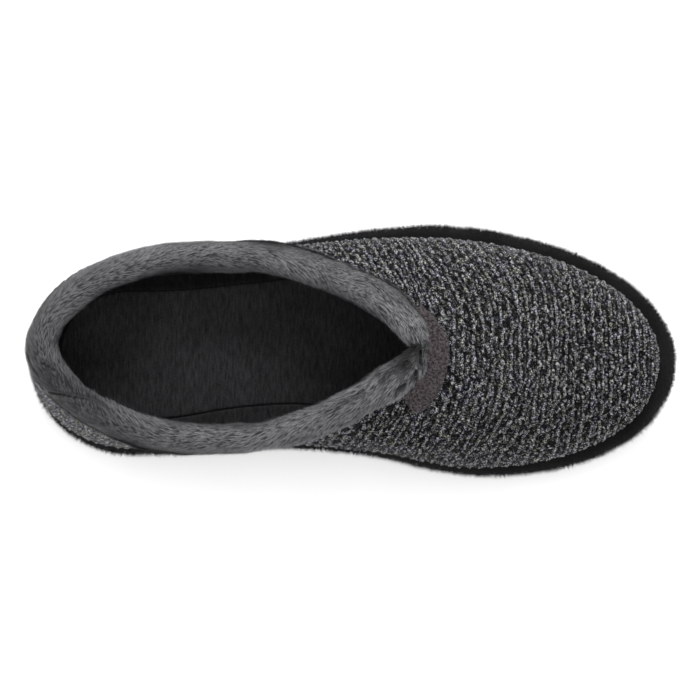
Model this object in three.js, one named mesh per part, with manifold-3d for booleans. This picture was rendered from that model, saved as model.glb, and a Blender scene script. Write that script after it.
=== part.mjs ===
// A left closed-back house slipper: a knit upper with a plush collar on a soft covered platform.
// Millimetres. +X points to the toe, +Y to the outer side of the foot, +Z up from the floor.

import * as THREE from 'three';
import { mergeVertices } from 'three/addons/utils/BufferGeometryUtils.js';
import Module from 'manifold-3d';

// Driving dimensions of the sole
const SOLE_LENGTH = 286;
const BALL_WIDTH = 109.5;
const HEEL_WIDTH = 87;
const HEEL_ROUND = 46;
const TOE_TIP_SHIFT = -2.2;
const TOE_SPRING = 9;
const TOE_SPRING_LENGTH = 87;
const HEEL_LIFT = 2;
const HEEL_LIFT_LENGTH = 22;
const ARCH_RISE = 1.6;
const OUTSOLE_THICKNESS = 5;
const OUTSOLE_SETBACK = 1.8;
const OUTSOLE_FLARE = 2;
const GROOVE_DEPTH = 1.8;
const GROOVE_WIDTH = 3.4;
const GROOVE_PITCH = 13;
const PLATFORM_THICKNESS = 15;
const PLATFORM_EDGE_ROUND = 3;
const INSOLE_THICKNESS = 4;
const INSOLE_EDGE_ROUND = 1.5;

// Driving dimensions of the upper, its heights measured from the top of the platform
const WALL = 3;
const FEATHER_INSET = 9;
const BULGE = 3;
const OPENING_REAR = 11.5;
const OPENING_WIDTH = 81;
const OPENING_REAR_ROUND = 68;
const OPENING_REAR_SQUARE = 1.85;
const OPENING_THROAT_SQUARE = 1.4;
const OPENING_TAPER = 74;
const THROAT_AT = 173;
const SPINE_SHIFT = -1.6;
const TOE_CENTRE_AT = 237;
const HEEL_HEIGHT = 44;
const QUARTER_HEIGHT = 34;
const INSTEP_HEIGHT = 57;
const TOE_HEIGHT = 35.5;

// Driving dimensions of the collar and of the patch at the throat
const COLLAR_DROP = 21;
const COLLAR_INNER_DROP = 24;
const COLLAR_OUTER_PILE = 4.6;
const COLLAR_INNER_PILE = 4.2;
const COLLAR_CREST = 6;
const COLLAR_PINCH = 0.4;
const PATCH_WIDTH = 9.4;
const PATCH_THICKNESS = 1.2;
const PATCH_TUCK = 1;

// Clearances between neighbouring pieces
const SOLE_GAP = 0.3;
const COLLAR_GAP = 0.35;
const PATCH_GAP = 0.3;
const INSOLE_GAP = 0.6;

// How finely the forms are divided
const REAR_RIBS = 26;
const FRONT_RIBS = 16;
const RIB_STEPS = 10;
const SOLE_STATIONS = 56;
const COLLAR_STATIONS = 27;
const PATCH_STATIONS = 14;
const SAMPLE_RIBS = 320;
const SAMPLE_STEPS = 24;
const PATH_STEP = WALL / 2;

// Half widths of the sole: the share of the way from the heel's half width to the ball's
const SOLE_EDGES = [
  { at: 0.16, outer: 0, inner: 0 },
  { at: 0.25, outer: 0.03, inner: -0.05 },
  { at: 0.345, outer: 0.27, inner: -0.21 },
  { at: 0.42, outer: 0.60, inner: -0.25 },
  { at: 0.50, outer: 0.93, inner: -0.06 },
  { at: 0.56, outer: 1.10, inner: 0.19 },
  { at: 0.61, outer: 1.20, inner: 0.50 },
  { at: 0.67, outer: 1.22, inner: 0.76 },
  { at: 0.73, outer: 1.22, inner: 0.80 },
];

// The rounded toe end of each side: where it starts, as a share of the length, and how square it is
const TOE_ENDS = {
  outer: { from: 0.61, square: 1.92 },
  inner: { from: 0.69, square: 2.2 },
};

// Places along the foot in the next four tables: 0 at the heel end, 1 at the throat, and for the
// ribs 2 at the toe tip, but for the ridge 2 at the middle of the toe

// Height of the upper's top edge round the opening, from the quarter's height up to heel and instep
const TOPLINE = [
  { at: 0.066, heel: 1, instep: 0 },
  { at: 0.198, heel: 0.74, instep: 0 },
  { at: 0.364, heel: 0.26, instep: 0 },
  { at: 0.546, heel: 0, instep: 0.01 },
  { at: 0.694, heel: 0, instep: 0.20 },
  { at: 0.777, heel: 0, instep: 0.46 },
  { at: 0.860, heel: 0, instep: 0.78 },
  { at: 0.926, heel: 0, instep: 0.95 },
  { at: 1, heel: 0, instep: 1 },
];

// Height of the ridge ahead of the throat, from the toe's height up to the instep's
const RIDGE = [
  { at: 1, instep: 1 },
  { at: 1.246, instep: 0.88 },
  { at: 1.425, instep: 0.74 },
  { at: 1.711, instep: 0.40 },
  { at: 1.988, instep: 0 },
  { at: 2.319, instep: -0.38 },
];

// Ribs of the upper: insets and bulge as shares of their named sizes, the first handle as a share
// of the rib's height, the lean at the top edge in degrees, and the reach as a share of the rib
const RIBS = [
  { at: 0, outer: 0.30, inner: 0.30, bulge: 0.50, handle: 0.34, lean: 80, reach: 0.34 },
  { at: 0.265, outer: 0.26, inner: 0.26, bulge: 0.50, handle: 0.34, lean: 84, reach: 0.34 },
  { at: 0.496, outer: 0.28, inner: 0.22, bulge: 0.60, handle: 0.36, lean: 84, reach: 0.34 },
  { at: 0.628, outer: 0.38, inner: 0.16, bulge: 0.75, handle: 0.40, lean: 70, reach: 0.34 },
  { at: 0.744, outer: 0.52, inner: 0.14, bulge: 0.85, handle: 0.44, lean: 54, reach: 0.36 },
  { at: 0.860, outer: 0.68, inner: 0.16, bulge: 0.90, handle: 0.48, lean: 36, reach: 0.42 },
  { at: 0.942, outer: 0.80, inner: 0.24, bulge: 0.80, handle: 0.50, lean: 20, reach: 0.50 },
  { at: 1, outer: 0.86, inner: 0.24, bulge: 0.70, handle: 0.51, lean: 8, reach: 0.55 },
  { at: 1.241, outer: 0.90, inner: 0.30, bulge: 0.55, handle: 0.54, lean: 0, reach: 0.60 },
  { at: 1.620, outer: 0.80, inner: 0.46, bulge: 0.50, handle: 0.56, lean: 0, reach: 0.58 },
  { at: 1.85, outer: 0.84, inner: 0.66, bulge: 0.50, handle: 0.57, lean: 0, reach: 0.55 },
  { at: 2, outer: 1.00, inner: 1.00, bulge: 0.50, handle: 0.58, lean: 0, reach: 0.52 },
];

// How far down the outside the collar reaches, as a share of its drop: higher beside the heel, where
// the knit shows below it
const COLLAR_REACH = [
  { at: 0.066, drop: 0.85 },
  { at: 0.090, drop: 0.62 },
  { at: 0.130, drop: 0.50 },
  { at: 0.250, drop: 0.55 },
  { at: 0.350, drop: 0.88 },
  { at: 0.430, drop: 0.98 },
  { at: 0.562, drop: 0.84 },
  { at: 0.694, drop: 0.54 },
  { at: 0.827, drop: 0.42 },
  { at: 0.926, drop: 0.46 },
  { at: 0.975, drop: 0.33 },
  { at: 1, drop: 0.14 },
];
const COLLAR_INNER_AT_THROAT = 0.55;

// Round the collar: the way along its skirt, and the height of its pile
const COLLAR_OUTER_FACE = [
  { drop: 1, pile: 0.55 },
  { drop: 0.78, pile: 1 },
  { drop: 0.38, pile: 1.1 },
  { drop: 0, pile: 0.95 },
];
const COLLAR_INNER_FACE = [
  { drop: 0, pile: 0.95 },
  { drop: 0.45, pile: 1.1 },
  { drop: 0.82, pile: 0.85 },
  { drop: 1, pile: 0.3 },
];
const CREST_SHOULDER = { rise: 0.72, pile: 0.5 };

// Width of the patch from its outer end to its inner end, as a share of its full width
const PATCH = [
  { at: 0, width: 0.15 },
  { at: 0.25, width: 0.64 },
  { at: 0.5, width: 0.97 },
  { at: 0.72, width: 1.04 },
  { at: 0.9, width: 1.1 },
  { at: 1, width: 0.95 },
];
const PATCH_OUTER_END = 0.865;
const PATCH_INNER_END = 1.19;

// Across the patch: its flat underside, and its face with the rounded front edge
const PATCH_UNDERSIDE = [0, 0.5, 1];
const PATCH_FACE = [
  { across: 1, up: 0.5 },
  { across: 0.94, up: 1 },
  { across: 0.5, up: 1 },
  { across: 0, up: 1 },
];

// The platform's side: shares of its thickness, and insets as shares of its edge's round
const PLATFORM_SIDE = [
  { up: 0, inset: 0.6 },
  { up: 0.2, inset: 0.1 },
  { up: 0.55, inset: 0 },
  { up: 0.88, inset: 0.3 },
  { up: 1, inset: 0.8 },
];
const OUTSOLE_FLARE_UP = 0.35;

// Shares of the sole's length that the arch takes, and the grooves of the tread
const ARCH = { from: 0.33, to: 0.53 };
const GROOVED = [
  { from: 0.07, to: 0.30 },
  { from: 0.56, to: 0.90 },
];

const HALF_TURN = Math.PI;
const OUTER = 1;
const INNER = -1;
const WHOLE_ROUND = 4;
const WHOLE_LOOP = 2;
const PLATFORM_TOP = OUTSOLE_THICKNESS + SOLE_GAP + PLATFORM_THICKNESS;
const UPPER_BASE = PLATFORM_TOP + SOLE_GAP;
const SMALL_STEP = 1e-3;
const SAME_POINT = 1e-4;

const sideName = (side) => (side === OUTER ? 'outer' : 'inner');
const mix = (a, b, share) => a + (b - a) * share;

// A smooth curve through one column of a table, straight past its two ends
function along(table, column, at) {
  const last = table.length - 1;
  const slopeOf = (from, to) => (table[to][column] - table[from][column]) / (table[to].at - table[from].at);
  if (at <= table[0].at) return table[0][column] + slopeOf(0, 1) * (at - table[0].at);
  if (at >= table[last].at) return table[last][column] + slopeOf(last - 1, last) * (at - table[last].at);
  const right = table.findIndex((row) => row.at > at);
  const left = right - 1;
  const slopeAt = (row) => slopeOf(Math.max(row - 1, 0), Math.min(row + 1, last));
  const span = table[right].at - table[left].at;
  const t = (at - table[left].at) / span;
  const rise = t * t * (3 - 2 * t);
  return mix(table[left][column], table[right][column], rise)
    + span * t * (1 - t) * ((1 - t) * slopeAt(left) - t * slopeAt(right));
}

// How full a rounded end is at a share of the way to its tip
const roundEnd = (share, square) => (1 - Math.min(Math.max(share, 0), 1) ** square) ** (1 / square);

// Sole outline and heights
function soleEdge(x, side) {
  const heelHalf = HEEL_WIDTH / 2;
  const name = sideName(side);
  const last = SOLE_EDGES[SOLE_EDGES.length - 1].at;
  const at = Math.min(Math.max(x / SOLE_LENGTH, SOLE_EDGES[0].at), last);
  const widening = BALL_WIDTH / 2 - heelHalf;
  const half = heelHalf + widening * along(SOLE_EDGES, name, at);
  const toe = TOE_ENDS[name];
  const toeFrom = toe.from * SOLE_LENGTH;
  const toeShare = (x - toeFrom) / (SOLE_LENGTH - toeFrom);
  if (toeShare > 0) return mix(TOE_TIP_SHIFT, side * half, roundEnd(toeShare, toe.square));
  return side * half * roundEnd(1 - x / HEEL_ROUND, 2);
}

// A point on the sole's outline, moved in from it, with share 0 at the heel and 1 at the toe tip
function solePoint(share, side, inset) {
  const xOf = (s) => (SOLE_LENGTH * (1 - Math.cos(HALF_TURN * s))) / 2;
  const point = (s) => {
    const mirrored = s < 0 || s > 1;
    const x = xOf(s);
    return [x, soleEdge(x, mirrored ? -side : side)];
  };
  const [x, y] = point(share);
  const [x0, y0] = point(share - SMALL_STEP);
  const [x1, y1] = point(share + SMALL_STEP);
  const length = Math.hypot(x1 - x0, y1 - y0);
  return [x + (side * inset * (y1 - y0)) / length, y - (side * inset * (x1 - x0)) / length];
}

const shareOfX = (x) => Math.acos(1 - (2 * x) / SOLE_LENGTH) / HALF_TURN;

function toeSpring(x) {
  const share = Math.max(0, (x - (SOLE_LENGTH - TOE_SPRING_LENGTH)) / TOE_SPRING_LENGTH);
  return TOE_SPRING * share * share;
}

function underside(x) {
  const heelShare = Math.max(0, 1 - x / HEEL_LIFT_LENGTH);
  const archPlace = (x / SOLE_LENGTH - ARCH.from) / (ARCH.to - ARCH.from);
  const archShare = Math.min(Math.max(archPlace, 0), 1);
  const arch = ARCH_RISE * Math.sin(HALF_TURN * archShare) ** 2;
  return toeSpring(x) + HEEL_LIFT * heelShare * heelShare + arch;
}

// Meshes
function solidGeometry(points, triangles) {
  const geometry = new THREE.BufferGeometry();
  geometry.setAttribute('position', new THREE.Float32BufferAttribute(points.flat(), 3));
  geometry.setIndex(triangles.flat());
  const merged = mergeVertices(geometry, SAME_POINT);
  const index = merged.index.array;
  const kept = [];
  for (let i = 0; i < index.length; i += 3) {
    const [a, b, c] = [index[i], index[i + 1], index[i + 2]];
    if (a !== b && b !== c && c !== a) kept.push(a, b, c);
  }
  merged.setIndex(kept);
  merged.computeVertexNormals();
  return merged;
}

// Joins rings of equal length into the triangles of a skin, seen from outside
function skinBetween(rings, points, triangles, closedRings, closedSequence) {
  const count = rings[0].length;
  const first = points.length;
  rings.forEach((ring) => points.push(...ring));
  const steps = closedSequence ? rings.length : rings.length - 1;
  const sides = closedRings ? count : count - 1;
  for (let i = 0; i < steps; i += 1) {
    const low = first + i * count;
    const high = first + ((i + 1) % rings.length) * count;
    for (let j = 0; j < sides; j += 1) {
      const next = (j + 1) % count;
      triangles.push([low + j, low + next, high + next], [low + j, high + next, high + j]);
    }
  }
}

// Solids that are joined or cut
const wasm = await Module();
wasm.setup();

function toManifold(geometry) {
  const bare = geometry.clone();
  bare.deleteAttribute('normal');
  if (bare.getAttribute('uv')) bare.deleteAttribute('uv');
  const merged = mergeVertices(bare, SAME_POINT);
  return new wasm.Manifold(new wasm.Mesh({
    numProp: 3,
    vertProperties: new Float32Array(merged.getAttribute('position').array),
    triVerts: new Uint32Array(merged.index.array),
  }));
}

function fromManifold(solid) {
  const { vertProperties, triVerts } = solid.getMesh();
  const geometry = new THREE.BufferGeometry();
  geometry.setAttribute('position', new THREE.BufferAttribute(new Float32Array(vertProperties), 3));
  geometry.setIndex(new THREE.BufferAttribute(new Uint32Array(triVerts), 1));
  geometry.computeVertexNormals();
  return geometry;
}

// A layer of the sole from levels of its outline, each with an inset and a height for every x
function soleLayer(levels) {
  const points = [];
  const triangles = [];
  const rings = levels.map(({ inset, height }) => {
    const ring = [];
    const add = (share, side) => {
      const [x, y] = solePoint(share, side, typeof inset === 'function' ? inset(share, side) : inset);
      ring.push([x, y, height(x)]);
    };
    for (let i = 0; i < SOLE_STATIONS; i += 1) add(i / SOLE_STATIONS, INNER);
    for (let i = SOLE_STATIONS; i > 0; i -= 1) add(i / SOLE_STATIONS, OUTER);
    return ring;
  });
  skinBetween(rings, points, triangles, true, false);
  const count = SOLE_STATIONS * 2;
  const cap = (start, up) => {
    for (let i = 0; i < SOLE_STATIONS; i += 1) {
      const a = start + i;
      const b = start + i + 1;
      const c = start + ((count - i - 1) % count);
      const d = start + ((count - i) % count);
      const faces = [[a, b, c], [a, c, d]];
      triangles.push(...(up ? faces : faces.map((face) => face.toReversed())));
    }
  };
  cap(0, false);
  cap((levels.length - 1) * count, true);
  return solidGeometry(points, triangles);
}

// The upper's own surface. A place on it is a rib, from 0 at the heel through 1 at the throat to 2
// at the toe tip, and a share up the rib from its foot on the platform to the top edge or ridge.
function openingEdge(x, side) {
  const rear = roundEnd(1 - (x - OPENING_REAR) / OPENING_REAR_ROUND, OPENING_REAR_SQUARE);
  const front = roundEnd(1 - (THROAT_AT - x) / OPENING_TAPER, OPENING_THROAT_SQUARE);
  return mix(SPINE_SHIFT * (1 - front), side * (OPENING_WIDTH / 2), rear * front);
}

// A place along the foot: 0 at the heel end, 1 at the throat, 2 at a given end ahead of it
function placeAlong(x, end) {
  return x <= THROAT_AT ? x / THROAT_AT : 1 + (x - THROAT_AT) / (end - THROAT_AT);
}

function ridgeHeight(x) {
  return mix(TOE_HEIGHT, INSTEP_HEIGHT, along(RIDGE, 'instep', placeAlong(x, TOE_CENTRE_AT)));
}

function toplineHeight(x) {
  const at = placeAlong(x, TOE_CENTRE_AT);
  const heel = (HEEL_HEIGHT - QUARTER_HEIGHT) * along(TOPLINE, 'heel', at);
  const instep = (INSTEP_HEIGHT - QUARTER_HEIGHT) * along(TOPLINE, 'instep', at);
  return QUARTER_HEIGHT + heel + instep;
}

function ribHandles(rib, side) {
  const rear = rib <= 1;
  const share = rear ? (1 - Math.cos(HALF_TURN * rib)) / 2 : Math.sin(((rib - 1) * HALF_TURN) / 2);
  const footX = rear ? THROAT_AT * share : mix(THROAT_AT, SOLE_LENGTH, share);
  const row = (column) => along(RIBS, column, placeAlong(footX, SOLE_LENGTH));
  const inset = FEATHER_INSET * row(sideName(side));
  const [x, y] = solePoint(shareOfX(footX), side, inset);
  const foot = new THREE.Vector3(x, y, UPPER_BASE + toeSpring(x));
  const top = new THREE.Vector3();
  if (rear) {
    const topX = mix(OPENING_REAR, THROAT_AT, share);
    top.set(topX, openingEdge(topX, side), UPPER_BASE + toplineHeight(topX));
  } else {
    const fold = (SOLE_LENGTH - THROAT_AT) / (TOE_CENTRE_AT - THROAT_AT);
    const topX = mix(THROAT_AT, TOE_CENTRE_AT, 1 - (1 - share) ** fold);
    top.set(topX, SPINE_SHIFT, UPPER_BASE + toeSpring(topX) + ridgeHeight(topX));
  }
  const outward = new THREE.Vector3(foot.x - top.x, foot.y - top.y, 0);
  const span = foot.distanceTo(top);
  outward.normalize();
  const low = foot.clone();
  low.z += row('handle') * (top.z - foot.z);
  low.addScaledVector(outward, BULGE * row('bulge'));
  const lean = THREE.MathUtils.degToRad(row('lean'));
  const reach = row('reach') * span;
  const high = top.clone();
  high.addScaledVector(outward, Math.cos(lean) * reach);
  high.z -= Math.sin(lean) * reach;
  if (!rear) high.z += ridgeHeight(high.x) - ridgeHeight(top.x);
  return [foot, low, high, top];
}

const skinCurve = (rib, side) => new THREE.CubicBezierCurve3(...ribHandles(rib, side));

// Places run round the foot: 0 at the heel, 2 at the toe tip along the outer side, 4 at the heel again
function placeOf(round) {
  const wrapped = ((round % WHOLE_ROUND) + WHOLE_ROUND) % WHOLE_ROUND;
  if (wrapped <= WHOLE_ROUND / 2) return { rib: wrapped, side: OUTER };
  return { rib: WHOLE_ROUND - wrapped, side: INNER };
}

function skinPoint(round, up) {
  const { rib, side } = placeOf(round);
  return skinCurve(rib, side).getPoint(up);
}

function skinNormal(round, up) {
  const { rib } = placeOf(round);
  if (rib >= 1 && up > 1 - SMALL_STEP) {
    const { x } = skinPoint(round, 1);
    const slope = (ridgeHeight(x + 1) - ridgeHeight(x - 1)) / 2;
    return new THREE.Vector3(-slope, 0, 1).normalize();
  }
  const low = Math.max(up - SMALL_STEP, 0);
  const high = Math.min(up + SMALL_STEP, 1);
  const upward = skinPoint(round, high).sub(skinPoint(round, low));
  const forward = skinPoint(round + SMALL_STEP, up).sub(skinPoint(round - SMALL_STEP, up));
  return upward.cross(forward).normalize();
}

function ribPlaces() {
  const rear = Array.from({ length: REAR_RIBS }, (_, i) => i / REAR_RIBS);
  const front = Array.from({ length: FRONT_RIBS + 1 }, (_, i) => 1 + i / FRONT_RIBS);
  const oneSide = [...rear, ...front];
  return [...oneSide, ...oneSide.slice(1, -1).toReversed().map((rib) => WHOLE_ROUND - rib)];
}

// The hollow wall of the upper, or the same wall grown all over by a clearance
function upperGeometry(grown) {
  const points = [];
  const triangles = [];
  const outside = [];
  const inside = [];
  for (let step = 0; step <= RIB_STEPS; step += 1) {
    const up = step / RIB_STEPS;
    const ring = ribPlaces().map((round) => {
      const at = skinPoint(round, up);
      if (step === 0) at.z -= grown;
      if (step === RIB_STEPS) at.addScaledVector(edgeAway(round), -grown);
      return { at, out: skinNormal(round, up) };
    });
    outside.push(ring.map(({ at, out }) => at.clone().addScaledVector(out, grown).toArray()));
    inside.push(ring.map(({ at, out }) => {
      const inner = at.clone().addScaledVector(out, -WALL - grown);
      if (step === 0) inner.z = at.z;
      return inner.toArray();
    }));
  }
  const rings = [...outside, ...inside.toReversed()].map((ring) => ring.toReversed());
  skinBetween(rings, points, triangles, true, true);
  return solidGeometry(points, dropRidgeRim(points, triangles));
}

// The direction in which the wall leaves the opening's edge, and no direction ahead of the throat
function edgeAway(round) {
  const { rib } = placeOf(round);
  return rib <= 1 ? edgeFrame(round <= 1 ? round : round - 2).away : new THREE.Vector3();
}

// Ahead of the throat the two sides meet on the ridge, so the rim between the sheets goes there
function dropRidgeRim(points, triangles) {
  const onRidge = (corner) => {
    const [x, y] = points[corner];
    return x >= THROAT_AT - WALL && Math.abs(y - SPINE_SHIFT) < SMALL_STEP;
  };
  return triangles.filter((triangle) => !triangle.every(onRidge));
}

// Paths on the upper's surface that leave the top edge at a right angle, for the collar and patch
const SAMPLES = [];
for (let i = 0; i < SAMPLE_RIBS; i += 1) {
  for (let j = 0; j <= SAMPLE_STEPS; j += 1) {
    const round = (WHOLE_ROUND * i) / SAMPLE_RIBS;
    const up = j / SAMPLE_STEPS;
    SAMPLES.push({ at: skinPoint(round, up), out: skinNormal(round, up) });
  }
}

function onSkin(point) {
  let nearest = SAMPLES[0];
  let best = Infinity;
  SAMPLES.forEach((sample) => {
    const distance = sample.at.distanceToSquared(point);
    if (distance < best) {
      best = distance;
      nearest = sample;
    }
  });
  const height = point.clone().sub(nearest.at).dot(nearest.out);
  return { at: point.clone().addScaledVector(nearest.out, -height), out: nearest.out };
}

// The opening's edge as one loop: 0 at the heel, 1 at the throat, 2 at the heel again
const edgeRound = (loop) => (loop <= 1 ? loop : loop + 2);

function edgeFrame(loop) {
  const wrapped = ((loop % WHOLE_LOOP) + WHOLE_LOOP) % WHOLE_LOOP;
  const at = skinPoint(edgeRound(wrapped), 1);
  const out = skinNormal(edgeRound(wrapped), 1);
  const ahead = skinPoint(edgeRound((wrapped + SMALL_STEP) % WHOLE_LOOP), 1);
  const behind = skinPoint(edgeRound((wrapped + WHOLE_LOOP - SMALL_STEP) % WHOLE_LOOP), 1);
  const away = out.clone().cross(ahead.sub(behind)).normalize();
  return { at, out, away };
}

function skirtPath(loop, length) {
  const { at, out, away } = edgeFrame(loop);
  const path = [{ at, out }];
  const heading = away.clone();
  let place = at;
  for (let gone = PATH_STEP; gone < length + PATH_STEP; gone += PATH_STEP) {
    const found = onSkin(place.clone().addScaledVector(heading, PATH_STEP));
    heading.copy(found.at).sub(place);
    heading.addScaledVector(found.out, -heading.dot(found.out)).normalize();
    place = found.at;
    path.push(found);
  }
  return (distance, offset) => {
    if (distance <= 0) {
      return at.clone().addScaledVector(away, distance).addScaledVector(out, offset);
    }
    const index = Math.min(Math.floor(distance / PATH_STEP), path.length - 2);
    const share = distance / PATH_STEP - index;
    const base = path[index].at.clone().lerp(path[index + 1].at, share);
    const normal = path[index].out.clone().lerp(path[index + 1].out, share).normalize();
    return base.addScaledVector(normal, offset);
  };
}

const edgeX = (loop) => skinPoint(edgeRound(loop), 1).x;
const collarDrop = (loop) => COLLAR_DROP * along(COLLAR_REACH, 'drop', edgeX(loop) / THROAT_AT);

// One slice through the collar's full form: up its outer face, over the crest, down inside the
// wall and back through the middle of the wall
function collarSlice(loop, grown) {
  const drop = collarDrop(loop) + grown;
  const behindThroat = Math.min(1, (THROAT_AT - edgeX(loop)) / OPENING_TAPER);
  const innerDrop = COLLAR_INNER_DROP * mix(COLLAR_INNER_AT_THROAT, 1, behindThroat);
  const point = skirtPath(loop, Math.max(drop, innerDrop));
  const outerSkin = COLLAR_GAP + grown;
  const innerSkin = -WALL - COLLAR_GAP;
  const slice = [];
  COLLAR_OUTER_FACE.forEach((row) => {
    slice.push(point(row.drop * drop, outerSkin + row.pile * COLLAR_OUTER_PILE));
  });
  const shoulder = -CREST_SHOULDER.rise * COLLAR_CREST;
  slice.push(point(shoulder, outerSkin + CREST_SHOULDER.pile * COLLAR_OUTER_PILE));
  slice.push(point(-COLLAR_CREST, -WALL / 2));
  slice.push(point(shoulder, innerSkin - CREST_SHOULDER.pile * COLLAR_INNER_PILE));
  COLLAR_INNER_FACE.forEach((row) => {
    slice.push(point(row.drop * innerDrop, innerSkin - row.pile * COLLAR_INNER_PILE));
  });
  slice.push(point(innerDrop, -WALL / 2));
  slice.push(point(drop, -WALL / 2));
  return slice.map((corner) => pinched(corner, loop).toArray());
}

// At the throat the two sides of the collar press against each other without crossing
function pinched(corner, loop) {
  const result = corner.clone();
  if (loop > 0.5 && loop < 1) result.y = Math.max(corner.y, SPINE_SHIFT + COLLAR_PINCH / 2);
  if (loop > 1 && loop < 1.5) result.y = Math.min(corner.y, SPINE_SHIFT - COLLAR_PINCH / 2);
  if (loop === 1) result.y = SPINE_SHIFT;
  return result;
}

function collarForm(grown) {
  const points = [];
  const triangles = [];
  const loops = Array.from({ length: 2 * COLLAR_STATIONS }, (_, i) => i / COLLAR_STATIONS);
  skinBetween(loops.map((loop) => collarSlice(loop, grown)), points, triangles, true, true);
  return toManifold(solidGeometry(points, triangles));
}

const grownUpper = () => toManifold(upperGeometry(COLLAR_GAP));

// The collar is its full form less the upper's wall grown by the clearance
const collarGeometry = () => fromManifold(collarForm(0).subtract(grownUpper()));

// The crescent patch lies on the vamp, cut back to the front of the collar and the wall below it
function patchGeometry() {
  const points = [];
  const triangles = [];
  const rings = [];
  for (let i = 0; i <= PATCH_STATIONS; i += 1) {
    const share = i / PATCH_STATIONS;
    const loop = mix(PATCH_OUTER_END, PATCH_INNER_END, share);
    const start = collarDrop(loop) - PATCH_TUCK;
    const width = PATCH_TUCK + PATCH_WIDTH * along(PATCH, 'width', share);
    const point = skirtPath(loop, start + width);
    const below = PATCH_UNDERSIDE.map((across) => point(start + width * across, -WALL / 2));
    const above = PATCH_FACE.map(({ across, up }) => (
      point(start + width * across, COLLAR_GAP + PATCH_THICKNESS * up)
    ));
    rings.push([...below, ...above].map((corner) => corner.toArray()));
  }
  skinBetween(rings, points, triangles, true, false);
  const size = rings[0].length;
  const fan = (start, forward) => {
    for (let j = 1; j < size - 1; j += 1) {
      triangles.push(forward ? [start, start + j, start + j + 1] : [start, start + j + 1, start + j]);
    }
  };
  fan(0, false);
  fan(PATCH_STATIONS * size, true);
  const form = toManifold(solidGeometry(points, triangles));
  return fromManifold(form.subtract(collarForm(PATCH_GAP)).subtract(grownUpper()));
}

// Sole pieces
const featherInset = (share, side) => {
  const x = (SOLE_LENGTH * (1 - Math.cos(HALF_TURN * share))) / 2;
  return FEATHER_INSET * along(RIBS, sideName(side), placeAlong(x, SOLE_LENGTH));
};

function outsoleGeometry() {
  const top = (x) => OUTSOLE_THICKNESS + toeSpring(x);
  return soleLayer([
    { inset: OUTSOLE_SETBACK + OUTSOLE_FLARE, height: underside },
    { inset: OUTSOLE_SETBACK, height: (x) => mix(underside(x), top(x), OUTSOLE_FLARE_UP) },
    { inset: OUTSOLE_SETBACK, height: top },
  ]);
}

function platformGeometry() {
  const bottom = (x) => OUTSOLE_THICKNESS + SOLE_GAP + toeSpring(x);
  return soleLayer(PLATFORM_SIDE.map(({ up, inset }) => ({
    inset: inset * PLATFORM_EDGE_ROUND,
    height: (x) => bottom(x) + PLATFORM_THICKNESS * up,
  })));
}

function insoleGeometry() {
  const bottom = (x) => UPPER_BASE + toeSpring(x);
  const inset = (extra) => (share, side) => featherInset(share, side) + WALL + INSOLE_GAP + extra;
  return soleLayer([
    { inset: inset(0), height: bottom },
    { inset: inset(0), height: (x) => bottom(x) + INSOLE_THICKNESS - INSOLE_EDGE_ROUND },
    { inset: inset(INSOLE_EDGE_ROUND), height: (x) => bottom(x) + INSOLE_THICKNESS },
  ]);
}

// Grooves cut across the tread
function groovedOutsole() {
  let solid = toManifold(outsoleGeometry());
  GROOVED.forEach(({ from, to }) => {
    const count = Math.floor(((to - from) * SOLE_LENGTH) / GROOVE_PITCH);
    for (let i = 0; i <= count; i += 1) {
      const x = from * SOLE_LENGTH + i * GROOVE_PITCH;
      const bar = new THREE.BoxGeometry(GROOVE_WIDTH, 2 * BALL_WIDTH, 2 * GROOVE_DEPTH);
      bar.translate(x, 0, underside(x));
      solid = solid.subtract(toManifold(bar));
    }
  });
  return fromManifold(solid);
}

const piece = (name, geometry, color, roughness) => {
  const material = new THREE.MeshStandardMaterial({ color, roughness, metalness: 0 });
  const mesh = new THREE.Mesh(geometry, material);
  mesh.name = name;
  return mesh;
};

const slipper = new THREE.Group();
slipper.add(
  piece('outsole', groovedOutsole(), 0x1e1e1f, 0.8),
  piece('platform', platformGeometry(), 0x2b2b2c, 0.95),
  piece('insole', insoleGeometry(), 0x252526, 0.95),
  piece('upper', upperGeometry(0), 0x4b4b4d, 0.95),
  piece('collar', collarGeometry(), 0x5c5c5c, 0.9),
  piece('throat_patch', patchGeometry(), 0x4b4748, 0.9),
);

// The origin is below the middle of the slipper, on the floor
const bounds = new THREE.Box3().setFromObject(slipper);
const middle = bounds.getCenter(new THREE.Vector3());
slipper.position.set(-middle.x, -middle.y, -bounds.min.z);

export default slipper;
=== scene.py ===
# Looks of a left closed-back house slipper: knit upper, plush collar, suede crescent, soft platform.

import itertools
import math

import bpy
import numpy as np
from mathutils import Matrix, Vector
from mathutils.kdtree import KDTree


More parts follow.
